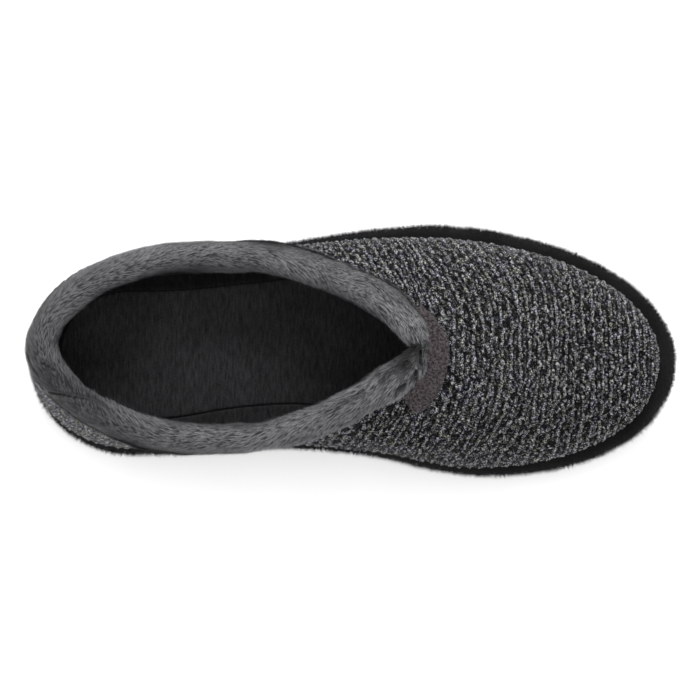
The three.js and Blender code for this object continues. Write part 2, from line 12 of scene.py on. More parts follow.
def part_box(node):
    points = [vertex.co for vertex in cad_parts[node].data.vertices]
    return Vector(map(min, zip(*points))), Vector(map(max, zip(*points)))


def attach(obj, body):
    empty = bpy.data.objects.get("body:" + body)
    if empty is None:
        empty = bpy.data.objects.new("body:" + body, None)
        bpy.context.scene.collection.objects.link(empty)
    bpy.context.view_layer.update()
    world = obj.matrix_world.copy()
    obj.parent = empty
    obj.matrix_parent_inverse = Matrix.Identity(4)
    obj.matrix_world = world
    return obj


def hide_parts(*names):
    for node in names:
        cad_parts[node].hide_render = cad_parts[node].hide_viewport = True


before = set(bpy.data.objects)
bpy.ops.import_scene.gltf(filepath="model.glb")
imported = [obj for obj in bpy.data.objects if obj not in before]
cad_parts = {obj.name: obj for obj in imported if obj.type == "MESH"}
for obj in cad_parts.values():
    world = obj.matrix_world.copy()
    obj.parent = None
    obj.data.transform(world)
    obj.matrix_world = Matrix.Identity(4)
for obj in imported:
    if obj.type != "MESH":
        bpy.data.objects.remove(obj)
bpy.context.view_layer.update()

# Sizes of the slipper in millimetres, as its solids have them. Places are measured from the heel
# end of the sole, from its centre line and from the floor.
SOLE_LENGTH = 286
BALL_WIDTH = 109.5
HEEL_WIDTH = 87
HEEL_ROUND = 46
TOE_TIP_SHIFT = -2.2
TOE_SPRING = 9
TOE_SPRING_LENGTH = 87
OUTSOLE_THICKNESS = 5
PLATFORM_THICKNESS = 15
PLATFORM_EDGE_ROUND = 3
WALL = 3
FEATHER_INSET = 9
BULGE = 3
OPENING_REAR = 11.5
OPENING_WIDTH = 81
OPENING_REAR_ROUND = 68
OPENING_REAR_SQUARE = 1.85
OPENING_THROAT_SQUARE = 1.4
OPENING_TAPER = 74
THROAT_AT = 173
SPINE_SHIFT = -1.6
TOE_CENTRE_AT = 237
HEEL_HEIGHT = 44
QUARTER_HEIGHT = 34
INSTEP_HEIGHT = 57
TOE_HEIGHT = 35.5
COLLAR_DROP = 21
COLLAR_INNER_DROP = 24
COLLAR_OUTER_PILE = 4.6
COLLAR_INNER_PILE = 4.2
COLLAR_CREST = 6
COLLAR_PINCH = 0.4
COLLAR_INNER_AT_THROAT = 0.55
PATCH_WIDTH = 9.4
PATCH_THICKNESS = 1.2
PATCH_TUCK = 1
PATCH_OUTER_END = 0.865
PATCH_INNER_END = 1.19
SOLE_GAP = 0.3
COLLAR_GAP = 0.35
INSOLE_GAP = 0.6
PLATFORM_TOP = OUTSOLE_THICKNESS + SOLE_GAP + PLATFORM_THICKNESS
UPPER_BASE = PLATFORM_TOP + SOLE_GAP

OUTER = 1
INNER = -1
WHOLE_ROUND = 4
WHOLE_LOOP = 2
SMALL_STEP = 1e-3
MM = 0.001

# Half widths of the sole: the share of the way from the heel's half width to the ball's
SOLE_EDGES = {
    "at": (0.16, 0.25, 0.345, 0.42, 0.50, 0.56, 0.61, 0.67, 0.73),
    "outer": (0, 0.03, 0.27, 0.60, 0.93, 1.10, 1.20, 1.22, 1.22),
    "inner": (0, -0.05, -0.21, -0.25, -0.06, 0.19, 0.50, 0.76, 0.80),
}
TOE_ENDS = {"outer": {"from": 0.61, "square": 1.92}, "inner": {"from": 0.69, "square": 2.2}}

# Places along the foot: 0 at the heel end, 1 at the throat, 2 at the middle of the toe, or for the
# ribs at the toe tip
TOPLINE = {
    "at": (0.066, 0.198, 0.364, 0.546, 0.694, 0.777, 0.860, 0.926, 1),
    "heel": (1, 0.74, 0.26, 0, 0, 0, 0, 0, 0),
    "instep": (0, 0, 0, 0.01, 0.20, 0.46, 0.78, 0.95, 1),
}
RIDGE = {
    "at": (1, 1.246, 1.425, 1.711, 1.988, 2.319),
    "instep": (1, 0.88, 0.74, 0.40, 0, -0.38),
}
RIBS = {
    "at": (0, 0.265, 0.496, 0.628, 0.744, 0.860, 0.942, 1, 1.241, 1.620, 1.85, 2),
    "outer": (0.30, 0.26, 0.28, 0.38, 0.52, 0.68, 0.80, 0.86, 0.90, 0.80, 0.84, 1.00),
    "inner": (0.30, 0.26, 0.22, 0.16, 0.14, 0.16, 0.24, 0.24, 0.30, 0.46, 0.66, 1.00),
    "bulge": (0.50, 0.50, 0.60, 0.75, 0.85, 0.90, 0.80, 0.70, 0.55, 0.50, 0.50, 0.50),
    "handle": (0.34, 0.34, 0.36, 0.40, 0.44, 0.48, 0.50, 0.51, 0.54, 0.56, 0.57, 0.58),
    "lean": (80, 84, 84, 70, 54, 36, 20, 8, 0, 0, 0, 0),
    "reach": (0.34, 0.34, 0.34, 0.34, 0.36, 0.42, 0.50, 0.55, 0.60, 0.58, 0.55, 0.52),
}
COLLAR_REACH = {
    "at": (0.066, 0.090, 0.130, 0.250, 0.350, 0.430, 0.562, 0.694, 0.827, 0.926, 0.975, 1),
    "drop": (0.85, 0.62, 0.50, 0.55, 0.88, 0.98, 0.84, 0.54, 0.42, 0.46, 0.33, 0.14),
}
PATCH = {
    "at": (0, 0.25, 0.5, 0.72, 0.9, 1),
    "width": (0.15, 0.64, 0.97, 1.04, 1.1, 0.95),
}
PLATFORM_SIDE = {
    "at": (0, 0.2, 0.55, 0.88, 1),
    "inset": (0.6, 0.1, 0, 0.3, 0.8),
}


# Curves of the slipper

def mix(a, b, share):
    return a + (b - a) * share


def along(table, column, at):
    """A smooth curve through one column of a table, straight past its two ends."""
    places = np.array(table["at"], float)
    values = np.array(table[column], float)
    at = np.asarray(at, float)
    last = len(places) - 1
    before = np.maximum(np.arange(last + 1) - 1, 0)
    after = np.minimum(np.arange(last + 1) + 1, last)
    slopes = (values[after] - values[before]) / (places[after] - places[before])
    left = np.clip(np.searchsorted(places, at, side="right") - 1, 0, last - 1)
    span = places[left + 1] - places[left]
    t = np.clip((at - places[left]) / span, 0, 1)
    between = mix(values[left], values[left + 1], t * t * (3 - 2 * t))
    between = between + span * t * (1 - t) * ((1 - t) * slopes[left] - t * slopes[left + 1])
    below = values[0] + slopes[0] * (at - places[0])
    above = values[-1] + slopes[-1] * (at - places[-1])
    return np.where(at <= places[0], below, np.where(at >= places[-1], above, between))


def round_end(share, square):
    """How full a rounded end is at a share of the way to its tip."""
    return (1 - np.clip(share, 0, 1) ** square) ** (1 / square)


def by_side(side, value):
    """The value of a named side, outer or inner, for an array of sides."""
    return np.where(side == OUTER, value("outer"), value("inner"))


def sole_edge(x, side):
    first, last = SOLE_EDGES["at"][0], SOLE_EDGES["at"][-1]
    at = np.clip(x / SOLE_LENGTH, first, last)
    heel_half = HEEL_WIDTH / 2

    def edge(name):
        sign = OUTER if name == "outer" else INNER
        half = sign * (heel_half + (BALL_WIDTH / 2 - heel_half) * along(SOLE_EDGES, name, at))
        toe_from = TOE_ENDS[name]["from"] * SOLE_LENGTH
        toe_share = (x - toe_from) / (SOLE_LENGTH - toe_from)
        toe = mix(TOE_TIP_SHIFT, half, round_end(toe_share, TOE_ENDS[name]["square"]))
        return np.where(toe_share > 0, toe, half * round_end(1 - x / HEEL_ROUND, 2))

    return by_side(side, edge)


def sole_x(share):
    """The place along the sole of a share that runs from the heel end to the toe tip."""
    return SOLE_LENGTH * (1 - np.cos(np.pi * share)) / 2


def sole_share(x):
    return np.arccos(1 - 2 * x / SOLE_LENGTH) / np.pi


def sole_point(share, side, inset):
    """A point on the sole's outline, moved in from it, as x and y."""
    def point(s):
        mirrored = (s < 0) | (s > 1)
        x = sole_x(s)
        return x, sole_edge(x, np.where(mirrored, -side, side))

    x, y = point(share)
    x0, y0 = point(share - SMALL_STEP)
    x1, y1 = point(share + SMALL_STEP)
    length = np.hypot(x1 - x0, y1 - y0)
    return x + side * inset * (y1 - y0) / length, y - side * inset * (x1 - x0) / length


def toe_spring(x):
    share = np.maximum(0, (x - (SOLE_LENGTH - TOE_SPRING_LENGTH)) / TOE_SPRING_LENGTH)
    return TOE_SPRING * share * share


def place_along(x, end):
    """0 at the heel end, 1 at the throat, 2 at a given end ahead of it."""
    return np.where(x <= THROAT_AT, x / THROAT_AT, 1 + (x - THROAT_AT) / (end - THROAT_AT))


def feather_inset(x, side):
    at = place_along(x, SOLE_LENGTH)
    return FEATHER_INSET * by_side(side, lambda name: along(RIBS, name, at))


# The upper's surface. A place on it runs round the foot, 0 at the heel, 1 beside the throat on the
# outer side, 2 at the toe tip, 3 beside the throat on the inner side and 4 at the heel again, and
# up from 0 at the platform to 1 at the top edge or the ridge.

def ridge_height(x):
    instep = along(RIDGE, "instep", place_along(x, TOE_CENTRE_AT))
    return mix(TOE_HEIGHT, INSTEP_HEIGHT, instep)


def topline_height(x):
    at = place_along(x, TOE_CENTRE_AT)
    heel = (HEEL_HEIGHT - QUARTER_HEIGHT) * along(TOPLINE, "heel", at)
    instep = (INSTEP_HEIGHT - QUARTER_HEIGHT) * along(TOPLINE, "instep", at)
    return QUARTER_HEIGHT + heel + instep


def opening_edge(x, side):
    rear = round_end(1 - (x - OPENING_REAR) / OPENING_REAR_ROUND, OPENING_REAR_SQUARE)
    front = round_end(1 - (THROAT_AT - x) / OPENING_TAPER, OPENING_THROAT_SQUARE)
    return mix(SPINE_SHIFT * (1 - front), side * OPENING_WIDTH / 2, rear * front)


def rib_handles(rib, side):
    """The four handles of each rib's curve, from its foot up to its top."""
    rear = rib <= 1
    share = np.where(rear, (1 - np.cos(np.pi * rib)) / 2, np.sin((rib - 1) * np.pi / 2))
    foot_x = np.where(rear, THROAT_AT * share, mix(THROAT_AT, SOLE_LENGTH, share))
    at = place_along(foot_x, SOLE_LENGTH)
    x, y = sole_point(sole_share(foot_x), side, feather_inset(foot_x, side))
    foot = np.stack([x, y, UPPER_BASE + toe_spring(x)], -1)
    rear_x = mix(OPENING_REAR, THROAT_AT, share)
    fold = (SOLE_LENGTH - THROAT_AT) / (TOE_CENTRE_AT - THROAT_AT)
    front_x = mix(THROAT_AT, TOE_CENTRE_AT, 1 - (1 - share) ** fold)
    front_z = toe_spring(front_x) + ridge_height(front_x)
    top = np.stack([
        np.where(rear, rear_x, front_x),
        np.where(rear, opening_edge(rear_x, side), SPINE_SHIFT),
        UPPER_BASE + np.where(rear, topline_height(rear_x), front_z),
    ], -1)
    span = np.linalg.norm(foot - top, axis=-1)
    outward = (foot - top) * (1, 1, 0)
    outward /= np.linalg.norm(outward, axis=-1, keepdims=True)
    low = foot + outward * (BULGE * along(RIBS, "bulge", at))[..., None]
    low[..., 2] += along(RIBS, "handle", at) * (top - foot)[..., 2]
    lean = np.radians(along(RIBS, "lean", at))
    reach = along(RIBS, "reach", at) * span
    high = top + outward * (np.cos(lean) * reach)[..., None]
    high[..., 2] -= np.sin(lean) * reach
    fall = ridge_height(high[..., 0]) - ridge_height(top[..., 0])
    high[..., 2] += np.where(rear, 0, fall)
    return foot, low, high, top


def skin(round_at, up):
    """Points of the surface. Past the ridge a place carries on down the other side."""
    round_at, up = np.broadcast_arrays(np.asarray(round_at, float), np.asarray(up, float))
    over = up > 1
    round_at = np.where(over, WHOLE_ROUND - round_at, round_at) % WHOLE_ROUND
    up = np.where(over, 2 - up, up)
    outer = round_at <= WHOLE_ROUND / 2
    rib = np.where(outer, round_at, WHOLE_ROUND - round_at)
    foot, low, high, top = rib_handles(rib, np.where(outer, OUTER, INNER))
    t = up[..., None]
    return ((1 - t) ** 3 * foot + 3 * (1 - t) ** 2 * t * low
            + 3 * (1 - t) * t ** 2 * high + t ** 3 * top)


def unit(vectors):
    return vectors / np.maximum(np.linalg.norm(vectors, axis=-1, keepdims=True), 1e-9)


def along_surface(vectors, normals):
    """Unit vectors without their part along the normals."""
    return unit(vectors - np.sum(vectors * normals, -1, keepdims=True) * normals)


def skin_normal(round_at, up):
    round_at, up = np.broadcast_arrays(np.asarray(round_at, float), np.asarray(up, float))
    rib = np.minimum(round_at % WHOLE_ROUND, WHOLE_ROUND - round_at % WHOLE_ROUND)
    highest = np.where(rib >= 1, up + SMALL_STEP, np.minimum(up + SMALL_STEP, 1))
    upward = skin(round_at, highest) - skin(round_at, np.maximum(up - SMALL_STEP, 0))
    forward = skin(round_at + SMALL_STEP, up) - skin(round_at - SMALL_STEP, up)
    return unit(np.cross(upward, forward))


# Paths on the surface that leave the opening's edge at a right angle

SAMPLE_RIBS = 900
SAMPLE_STEPS = 56
PATH_STEP = 1.0
PATH_SPARE = 2


def balanced_tree(points):
    tree = KDTree(len(points))
    for index, point in enumerate(points):
        tree.insert(point, index)
    tree.balance()
    return tree


def surface_samples():
    round_at, up = np.meshgrid(
        np.arange(SAMPLE_RIBS) * WHOLE_ROUND / SAMPLE_RIBS,
        np.linspace(0, 1, SAMPLE_STEPS),
        indexing="ij",
    )
    points = skin(round_at, up).reshape(-1, 3)
    normals = skin_normal(round_at, np.minimum(up, 1 - SMALL_STEP)).reshape(-1, 3)
    return points, normals, balanced_tree(points)


def edge_frame(loop):
    """Place, outward normal and leaving direction on the opening's edge: loop 0 at the heel, 1 at
    the throat and 2 at the heel again."""
    def edge(at):
        at = at % WHOLE_LOOP
        return skin(np.where(at <= 1, at, at + 2), 1.0)

    wrapped = loop % WHOLE_LOOP
    out = skin_normal(np.where(wrapped <= 1, wrapped, wrapped + 2), 1.0)
    away = unit(np.cross(out, edge(loop + SMALL_STEP) - edge(loop - SMALL_STEP)))
    return edge(loop), out, away


def skirt_paths(loops, length, samples):
    """For every loop station a row of points and normals, one path step apart, to a little past
    the length."""
    points, normals, tree = samples
    place, out, away = edge_frame(loops)
    rows = [(place, out)]
    heading = away
    for _ in range(int((length + PATH_SPARE) / PATH_STEP) + 2):
        ahead = rows[-1][0] + heading * PATH_STEP
        nearest = np.array([tree.find(point)[1] for point in ahead])
        out = normals[nearest]
        height = np.sum((ahead - points[nearest]) * out, -1, keepdims=True)
        found = ahead - height * out
        heading = along_surface(found - rows[-1][0], out)
        rows.append((found, out))
    places = np.stack([row[0] for row in rows], 1)
    outs = np.stack([row[1] for row in rows], 1)
    return places, outs, away


def smoothed(values, times):
    """Evens out small steps from each loop station to the next."""
    for _ in range(times):
        values = (np.roll(values, 1, 0) + np.roll(values, -1, 0) + 2 * values) / 4
    return values


class Skirt:
    """Points at a distance from the opening's edge and at an offset off the upper's surface."""

    def __init__(self, loops, length, samples):
        self.places, outs, self.away = skirt_paths(loops, length, samples)
        self.outs = unit(outs)

    def point(self, distance, offset):
        index = np.clip(np.floor(distance / PATH_STEP).astype(int), 0, self.places.shape[1] - 2)
        share = (distance / PATH_STEP - index)[:, None]
        station = np.arange(len(index))
        on_path = mix(self.places[station, index], self.places[station, index + 1], share)
        out = unit(mix(self.outs[station, index], self.outs[station, index + 1], share))
        beyond = self.places[:, 0] + self.away * distance[:, None]
        before_edge = (distance <= 0)[:, None]
        base = np.where(before_edge, beyond, on_path)
        out = np.where(before_edge, self.outs[:, 0], out)
        return base + out * np.asarray(offset)[..., None]


def edge_x(loops):
    return edge_frame(loops)[0][:, 0]


def collar_drop(loops):
    return COLLAR_DROP * along(COLLAR_REACH, "drop", edge_x(loops) / THROAT_AT)


# Random values that are the same on each run

HASH_STEPS = (127.1, 311.7, 74.7)
HASH_SEED_STEP = 53.3
HASH_SPREAD = 43758.5453


def hashed(cells, seed):
    """A value from 0 to 1 for each row of whole numbers."""
    mixed = sum(cells[..., axis] * HASH_STEPS[axis] for axis in range(cells.shape[-1]))
    value = np.sin(mixed + seed * HASH_SEED_STEP) * HASH_SPREAD
    return value - np.floor(value)


def soft_noise(points, size, seed):
    """Smooth random values from 0 to 1, with features of about the given size."""
    cell = points / size
    base = np.floor(cell)
    part = cell - base
    part = part * part * (3 - 2 * part)
    total = np.zeros(points.shape[:-1])
    for corner in itertools.product((0, 1), repeat=points.shape[-1]):
        weight = np.prod(np.where(corner, part, 1 - part), -1)
        total += weight * hashed(base + corner, seed)
    return total


def lumps(points, layers):
    """Soft random values about 0, from layers of a height, a size and a seed."""
    return sum(height * (soft_noise(points, size, seed) - 0.5) for height, size, seed in layers)


def drawn(rng, ends, count):
    """Random values between two ends."""
    return mix(*ends, rng.random(count))


# Meshes

OUTLINE_STATIONS = 600
platform_low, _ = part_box("platform")
outline_at = np.linspace(0, SOLE_LENGTH, OUTLINE_STATIONS)
inner_reach = sole_edge(outline_at, np.full(OUTLINE_STATIONS, INNER)).min()
SHIFT = np.array([platform_low.x / MM, platform_low.y / MM - inner_reach, 0.0])


def in_metres(points):
    """Points in the frame's metres from points in the slipper's own millimetres."""
    return (np.asarray(points, float).reshape(-1, 3) + SHIFT) * MM


def grid_faces(rows, columns, wrap_rows=False, wrap_columns=False):
    """Four-sided faces of a grid of points that are numbered row by row."""
    row, column = np.meshgrid(
        np.arange(rows if wrap_rows else rows - 1),
        np.arange(columns if wrap_columns else columns - 1),
        indexing="ij",
    )
    next_row, next_column = (row + 1) % rows, (column + 1) % columns
    corners = [
        row * columns + column, row * columns + next_column,
        next_row * columns + next_column, next_row * columns + column,
    ]
    return np.stack(corners, -1).reshape(-1, 4)


def faces_out(points, groups):
    """The faces of a closed mesh, turned over if they point in."""
    groups = [np.atleast_2d(group) for group in groups]
    volume = 0.0
    for group in groups:
        for k in range(1, group.shape[1] - 1):
            a, b, c = (points[group[:, corner]] for corner in (0, k, k + 1))
            volume += np.sum(a * np.cross(b, c))
    return [group[:, ::-1] for group in groups] if volume < 0 else groups


def mesh_object(name, points, groups, material, attributes=None):
    """A smooth mesh from points in millimetres and groups of faces, each an array of faces that
    have as many corners. Points that no face uses are left out."""
    used = np.unique(np.concatenate([np.ravel(group) for group in groups]))
    renumber = np.zeros(len(points), int)
    renumber[used] = np.arange(len(used))
    lists = [face for group in groups for face in renumber[np.atleast_2d(group)].tolist()]
    mesh = bpy.data.meshes.new(name)
    mesh.from_pydata(in_metres(points)[used].tolist(), [], lists)
    for key, values in (attributes or {}).items():
        layer = mesh.attributes.new(key, "FLOAT", "POINT")
        layer.data.foreach_set("value", np.ravel(values)[used].astype(np.float32))
    mesh.polygons.foreach_set("use_smooth", [True] * len(mesh.polygons))
    mesh.materials.append(material)
    mesh.update()
    made = bpy.data.objects.new(name, mesh)
    bpy.context.scene.collection.objects.link(made)
    return made


def finish_piece(piece, slot, *nodes):
    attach(piece, "root")
    if nodes:
        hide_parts(*nodes)
    return piece


# Materials

def new_material(name):
    made = bpy.data.materials.new(name)
    made.use_nodes = True
    return made, made.node_tree, made.node_tree.nodes["Principled BSDF"]


def add_node(tree, kind, inputs=None, **settings):
    node = tree.nodes.new(kind)
    for key, value in settings.items():
        setattr(node, key, value)
    for key, value in (inputs or {}).items():
        if isinstance(value, bpy.types.NodeSocket):
            tree.links.new(value, node.inputs[key])
        else:
            node.inputs[key].default_value = value
    return node


def attribute(tree, name):
    return add_node(tree, "ShaderNodeAttribute", attribute_name=name).outputs["Fac"]


def noise(tree, size, detail=3.0, roughness=0.6, stretch=(1, 1, 1)):
    """Noise with features of about the given size in millimetres."""
    place = add_node(tree, "ShaderNodeTexCoord").outputs["Object"]
    place = add_node(tree, "ShaderNodeMapping", {"Vector": place, "Scale": stretch}).outputs[0]
    inputs = {"Vector": place, "Scale": 1 / (size * MM), "Detail": detail, "Roughness": roughness}
    return add_node(tree, "ShaderNodeTexNoise", inputs).outputs["Fac"]


def weighted(tree, parts, total=0.0):
    """A sum of pairs of a value and its weight, on top of a first total."""
    for value, weight in parts:
        inputs = {0: value, 1: weight, 2: total}
        total = add_node(tree, "ShaderNodeMath", inputs, operation="MULTIPLY_ADD").outputs[0]
    return total


def ramp(tree, factor, stops):
    """A colour ramp. Stops are pairs of a place and a colour."""
    node = add_node(tree, "ShaderNodeValToRGB", {"Fac": factor})
    elements = node.color_ramp.elements
    elements[0].position, elements[-1].position = stops[0][0], stops[-1][0]
    elements[0].color, elements[-1].color = (*stops[0][1], 1), (*stops[-1][1], 1)
    for place, color in stops[1:-1]:
        elements.new(place).color = (*color, 1)
    return node.outputs["Color"]


def grey(value):
    return (value, value, value * 1.02)


def grey_ramp(tree, factor, *stops):
    """A ramp of greys. Stops are pairs of a place and how light it is."""
    return ramp(tree, factor, [(place, grey(value)) for place, value in stops])


def multiplied(tree, a, b):
    inputs = {0: 1.0, 6: a, 7: b}
    return add_node(tree, "ShaderNodeMix", inputs, data_type="RGBA", blend_type="MULTIPLY").outputs[2]


def bump(tree, height, distance, strength=1.0, normal=None):
    inputs = {"Height": height, "Distance": distance * MM, "Strength": strength}
    if normal is not None:
        inputs["Normal"] = normal
    return add_node(tree, "ShaderNodeBump", inputs).outputs["Normal"]


def wire(tree, shader, color, normal, roughness, gloss=0.04, sheen=0.0):
    tree.links.new(color, shader.inputs["Base Color"])
    tree.links.new(normal, shader.inputs["Normal"])
    shader.inputs["Roughness"].default_value = roughness
    shader.inputs["Specular IOR Level"].default_value = gloss
    shader.inputs["Sheen Weight"].default_value = sheen
    shader.inputs["Sheen Roughness"].default_value = 0.5


def knit_material():
    """Marled yarn: each loop has its own tone, with light and dark flecks of single strands, and painted
    shade in the hollows between the loops, darker the lower the relief.
    """
    made, tree, shader = new_material("marled_knit")
    fleck = noise(tree, 0.9, 2.0, 0.7)
    strand = noise(tree, 0.45, 2.0, 0.7)
    relief = attribute(tree, "relief")
    # The relief also lightens the tone of the high loops and darkens the low ones, as painted light and
    # shade
    parts = ((fleck, 2.1), (strand, 2.4), (attribute(tree, "tone"), 0.2), (relief, 0.35))
    tone = weighted(tree, parts, -2.15)
    base = grey_ramp(tree, tone, (0.0, 0.004), (0.25, 0.016), (0.5, 0.055), (0.75, 0.15), (1.0, 0.34))
    tint = ramp(tree, noise(tree, 3.2, 2.0, 0.6), [
        (0.32, (0.92, 0.95, 1.14)), (0.44, (1, 1, 1.02)), (0.54, (1, 1, 0.98)), (0.66, (1.04, 1.05, 0.88)),
    ])
    base = multiplied(tree, base, tint)
    # Painted shade in the hollows of the knit: the lower the relief, the darker the yarn
    base = multiplied(tree, base, grey_ramp(tree, relief, (0.04, 0.16), (0.36, 1.0)))
    normal = bump(tree, fleck, 0.35, 0.9)
    normal = bump(tree, strand, 0.18, 0.9, normal)
    wire(tree, shader, base, normal, 0.95)
    return made


def plush_material():
    """Short soft pile, dark at the roots and light at the tips: the dark roots are painted shade deep in
    the pile.
    """
    made, tree, shader = new_material("plush_pile")
    light = grey_ramp(tree, attribute(tree, "tip"), (0.0, 0.010), (0.5, 0.075), (1.0, 0.18))
    tone = grey_ramp(tree, attribute(tree, "tone"), (0.0, 0.15), (0.5, 0.9), (1.0, 1.6))
    color = multiplied(tree, light, tone)
    normal = bump(tree, noise(tree, 0.5, 2.0), 0.2, 0.6)
    wire(tree, shader, color, normal, 0.8, 0.08, 0.05)
    return made


def cloth_material(name, dark, light, size):
    """Matt cloth with a short nap and a soft mottle."""
    made, tree, shader = new_material(name)
    color = grey_ramp(tree, noise(tree, size, 4.0, 0.7), (0.3, dark), (0.7, light))
    color = multiplied(tree, color, grey_ramp(tree, noise(tree, 22.0, 2.0), (0.3, 0.8), (0.7, 1.15)))
    normal = bump(tree, noise(tree, size * 0.6, 3.0), 0.3, 0.8)
    wire(tree, shader, color, normal, 0.95)
    return made


def insole_material():
    """Dark fleece on a fine ribbed backing, with the ribs across the foot. It is darker past the
    seam, where less light comes in."""
    made, tree, shader = new_material("insole_fleece")
    rib = noise(tree, 1.0, 3.0, 0.6, (1, 0.2, 1))
    nap = noise(tree, 0.7, 3.0, 0.7)
    mixed = weighted(tree, ((rib, 0.55), (nap, 0.45)))
    color = grey_ramp(tree, mixed, (0.36, 0.0075), (0.64, 0.0245))
    color = multiplied(tree, color, grey_ramp(tree, noise(tree, 30.0, 2.0), (0.3, 0.85), (0.7, 1.2)))
    color = multiplied(tree, color, grey_ramp(tree, attribute(tree, "lit"), (0.0, 0.0), (1.0, 1.0)))
    normal = bump(tree, mixed, 0.35, 0.8)
    wire(tree, shader, color, normal, 0.95)
    return made


def suede_material(name, light):
    """Brownish suede with a mottled nap, paler along the rim."""
    made, tree, shader = new_material(name)
    nap = noise(tree, 1.0, 4.0, 0.8)
    color = ramp(tree, nap, [(0.41, (0.008, 0.0066, 0.0068)), (0.59, (0.070, 0.060, 0.062))])
    rim = grey_ramp(tree, attribute(tree, "rim"), (0.0, light), (1.0, 2.2 * light))
    color = multiplied(tree, color, rim)
    normal = bump(tree, nap, 0.25, 0.7)
    wire(tree, shader, color, normal, 0.9, 0.08, 0.03)
    return made


def rubber_material():
    made, tree, shader = new_material("tread_rubber")
    color = grey_ramp(tree, noise(tree, 3.0, 4.0), (0.3, 0.011), (0.7, 0.02))
    normal = bump(tree, noise(tree, 0.5, 2.0), 0.1, 0.6)
    wire(tree, shader, color, normal, 0.75, 0.3)
    return made


def floor_material():
    made, tree, shader = new_material("pale_floor")
    color = ramp(tree, noise(tree, 60.0, 2.0), [(0.3, (0.93, 0.93, 0.93)), (0.7, (0.95, 0.95, 0.95))])
    tree.links.new(color, shader.inputs["Base Color"])
    shader.inputs["Roughness"].default_value = 0.9
    return made


# Knit of the upper

KNIT_RELIEF = 1.2
KNIT_WALL = 1.6
KNIT_SUNK = 0.5
# Down at its foot the knit stands out a little, and is tucked in just above the platform
FOOT_BULGE = 0.5
FOOT_BULGE_HEIGHT = 13
FOOT_TUCK = 0.6
FOOT_TUCK_HEIGHT = 0.9
# The lean of the ropes: how far off the ridge it starts, over which width it grows, how far it goes,
# and from where it fades out towards the toe
LEAN_FROM = 8
LEAN_OVER = 36
LEAN_SHIFT = 18
LEAN_FADE_FROM = 15
LEAN_FADE_OVER = 70
# Keeps the way across the foot from turning too fast where the surface stands upright
SIDE_LEAN = 0.15
# Ropes of loops run across the foot, two to a rib. Each loop is a slanted lump.
ROPE_PITCH = 2.15
ROPES_IN_RIB = 2
LOOP_PITCH = 1.5
LOOP_HALF_WIDTH = 0.88
LOOP_HALF_LENGTH = 1.05
LOOP_SLANT = 0.4
# How much each loop is turned and pushed aside at random
LOOP_TURN = 1.2
LOOP_PUSH = 1.1
LOOP_PUSH_ALONG = 0.8
# How high a loop stands: at least, more in the first rope of each rib, on the crest of the wave and
# by its own random size
LOOP_LEAST = 0.46
LOOP_LEADING = 0.30
LOOP_ON_CREST = 0.16
LOOP_BY_SIZE = 0.30
# Waves along the ribs, with holes in the troughs between two ribs, in patches
WAVE_LENGTH = 6.8
HOLE_DEPTH = 1.36
HOLE_PATCHES = 5.0
# The loops stray in broad and fine steps, and the yarn is uneven
WANDER = 1.2
WANDER_LENGTHWAYS = 6.0
WANDER_CROSSWAYS = 8.0
WANDER_FINE = 2.4
YARN_SIZE = 0.95
YARN_HEIGHT = 0.34


def leaned(u, v):
    """Away from the ridge the ropes of loops lean back to the heel, but not at the toe."""
    beyond = np.maximum(np.abs(v) - LEAN_FROM, 0)
    fade = np.clip((u - LEAN_FADE_FROM) / LEAN_FADE_OVER, 0, 1)
    fade = 1 - fade * fade * (3 - 2 * fade)
    return u + LEAN_SHIFT * fade * (1 - np.exp(-(beyond / LEAN_OVER) ** 2))


def wander(flat, size, seed):
    """How far the loops stray at each place, in broad steps and in fine ones."""
    fine = soft_noise(flat, WANDER_FINE, seed + 9)
    return WANDER * (soft_noise(flat, size, seed) - 0.5 + 0.5 * fine)


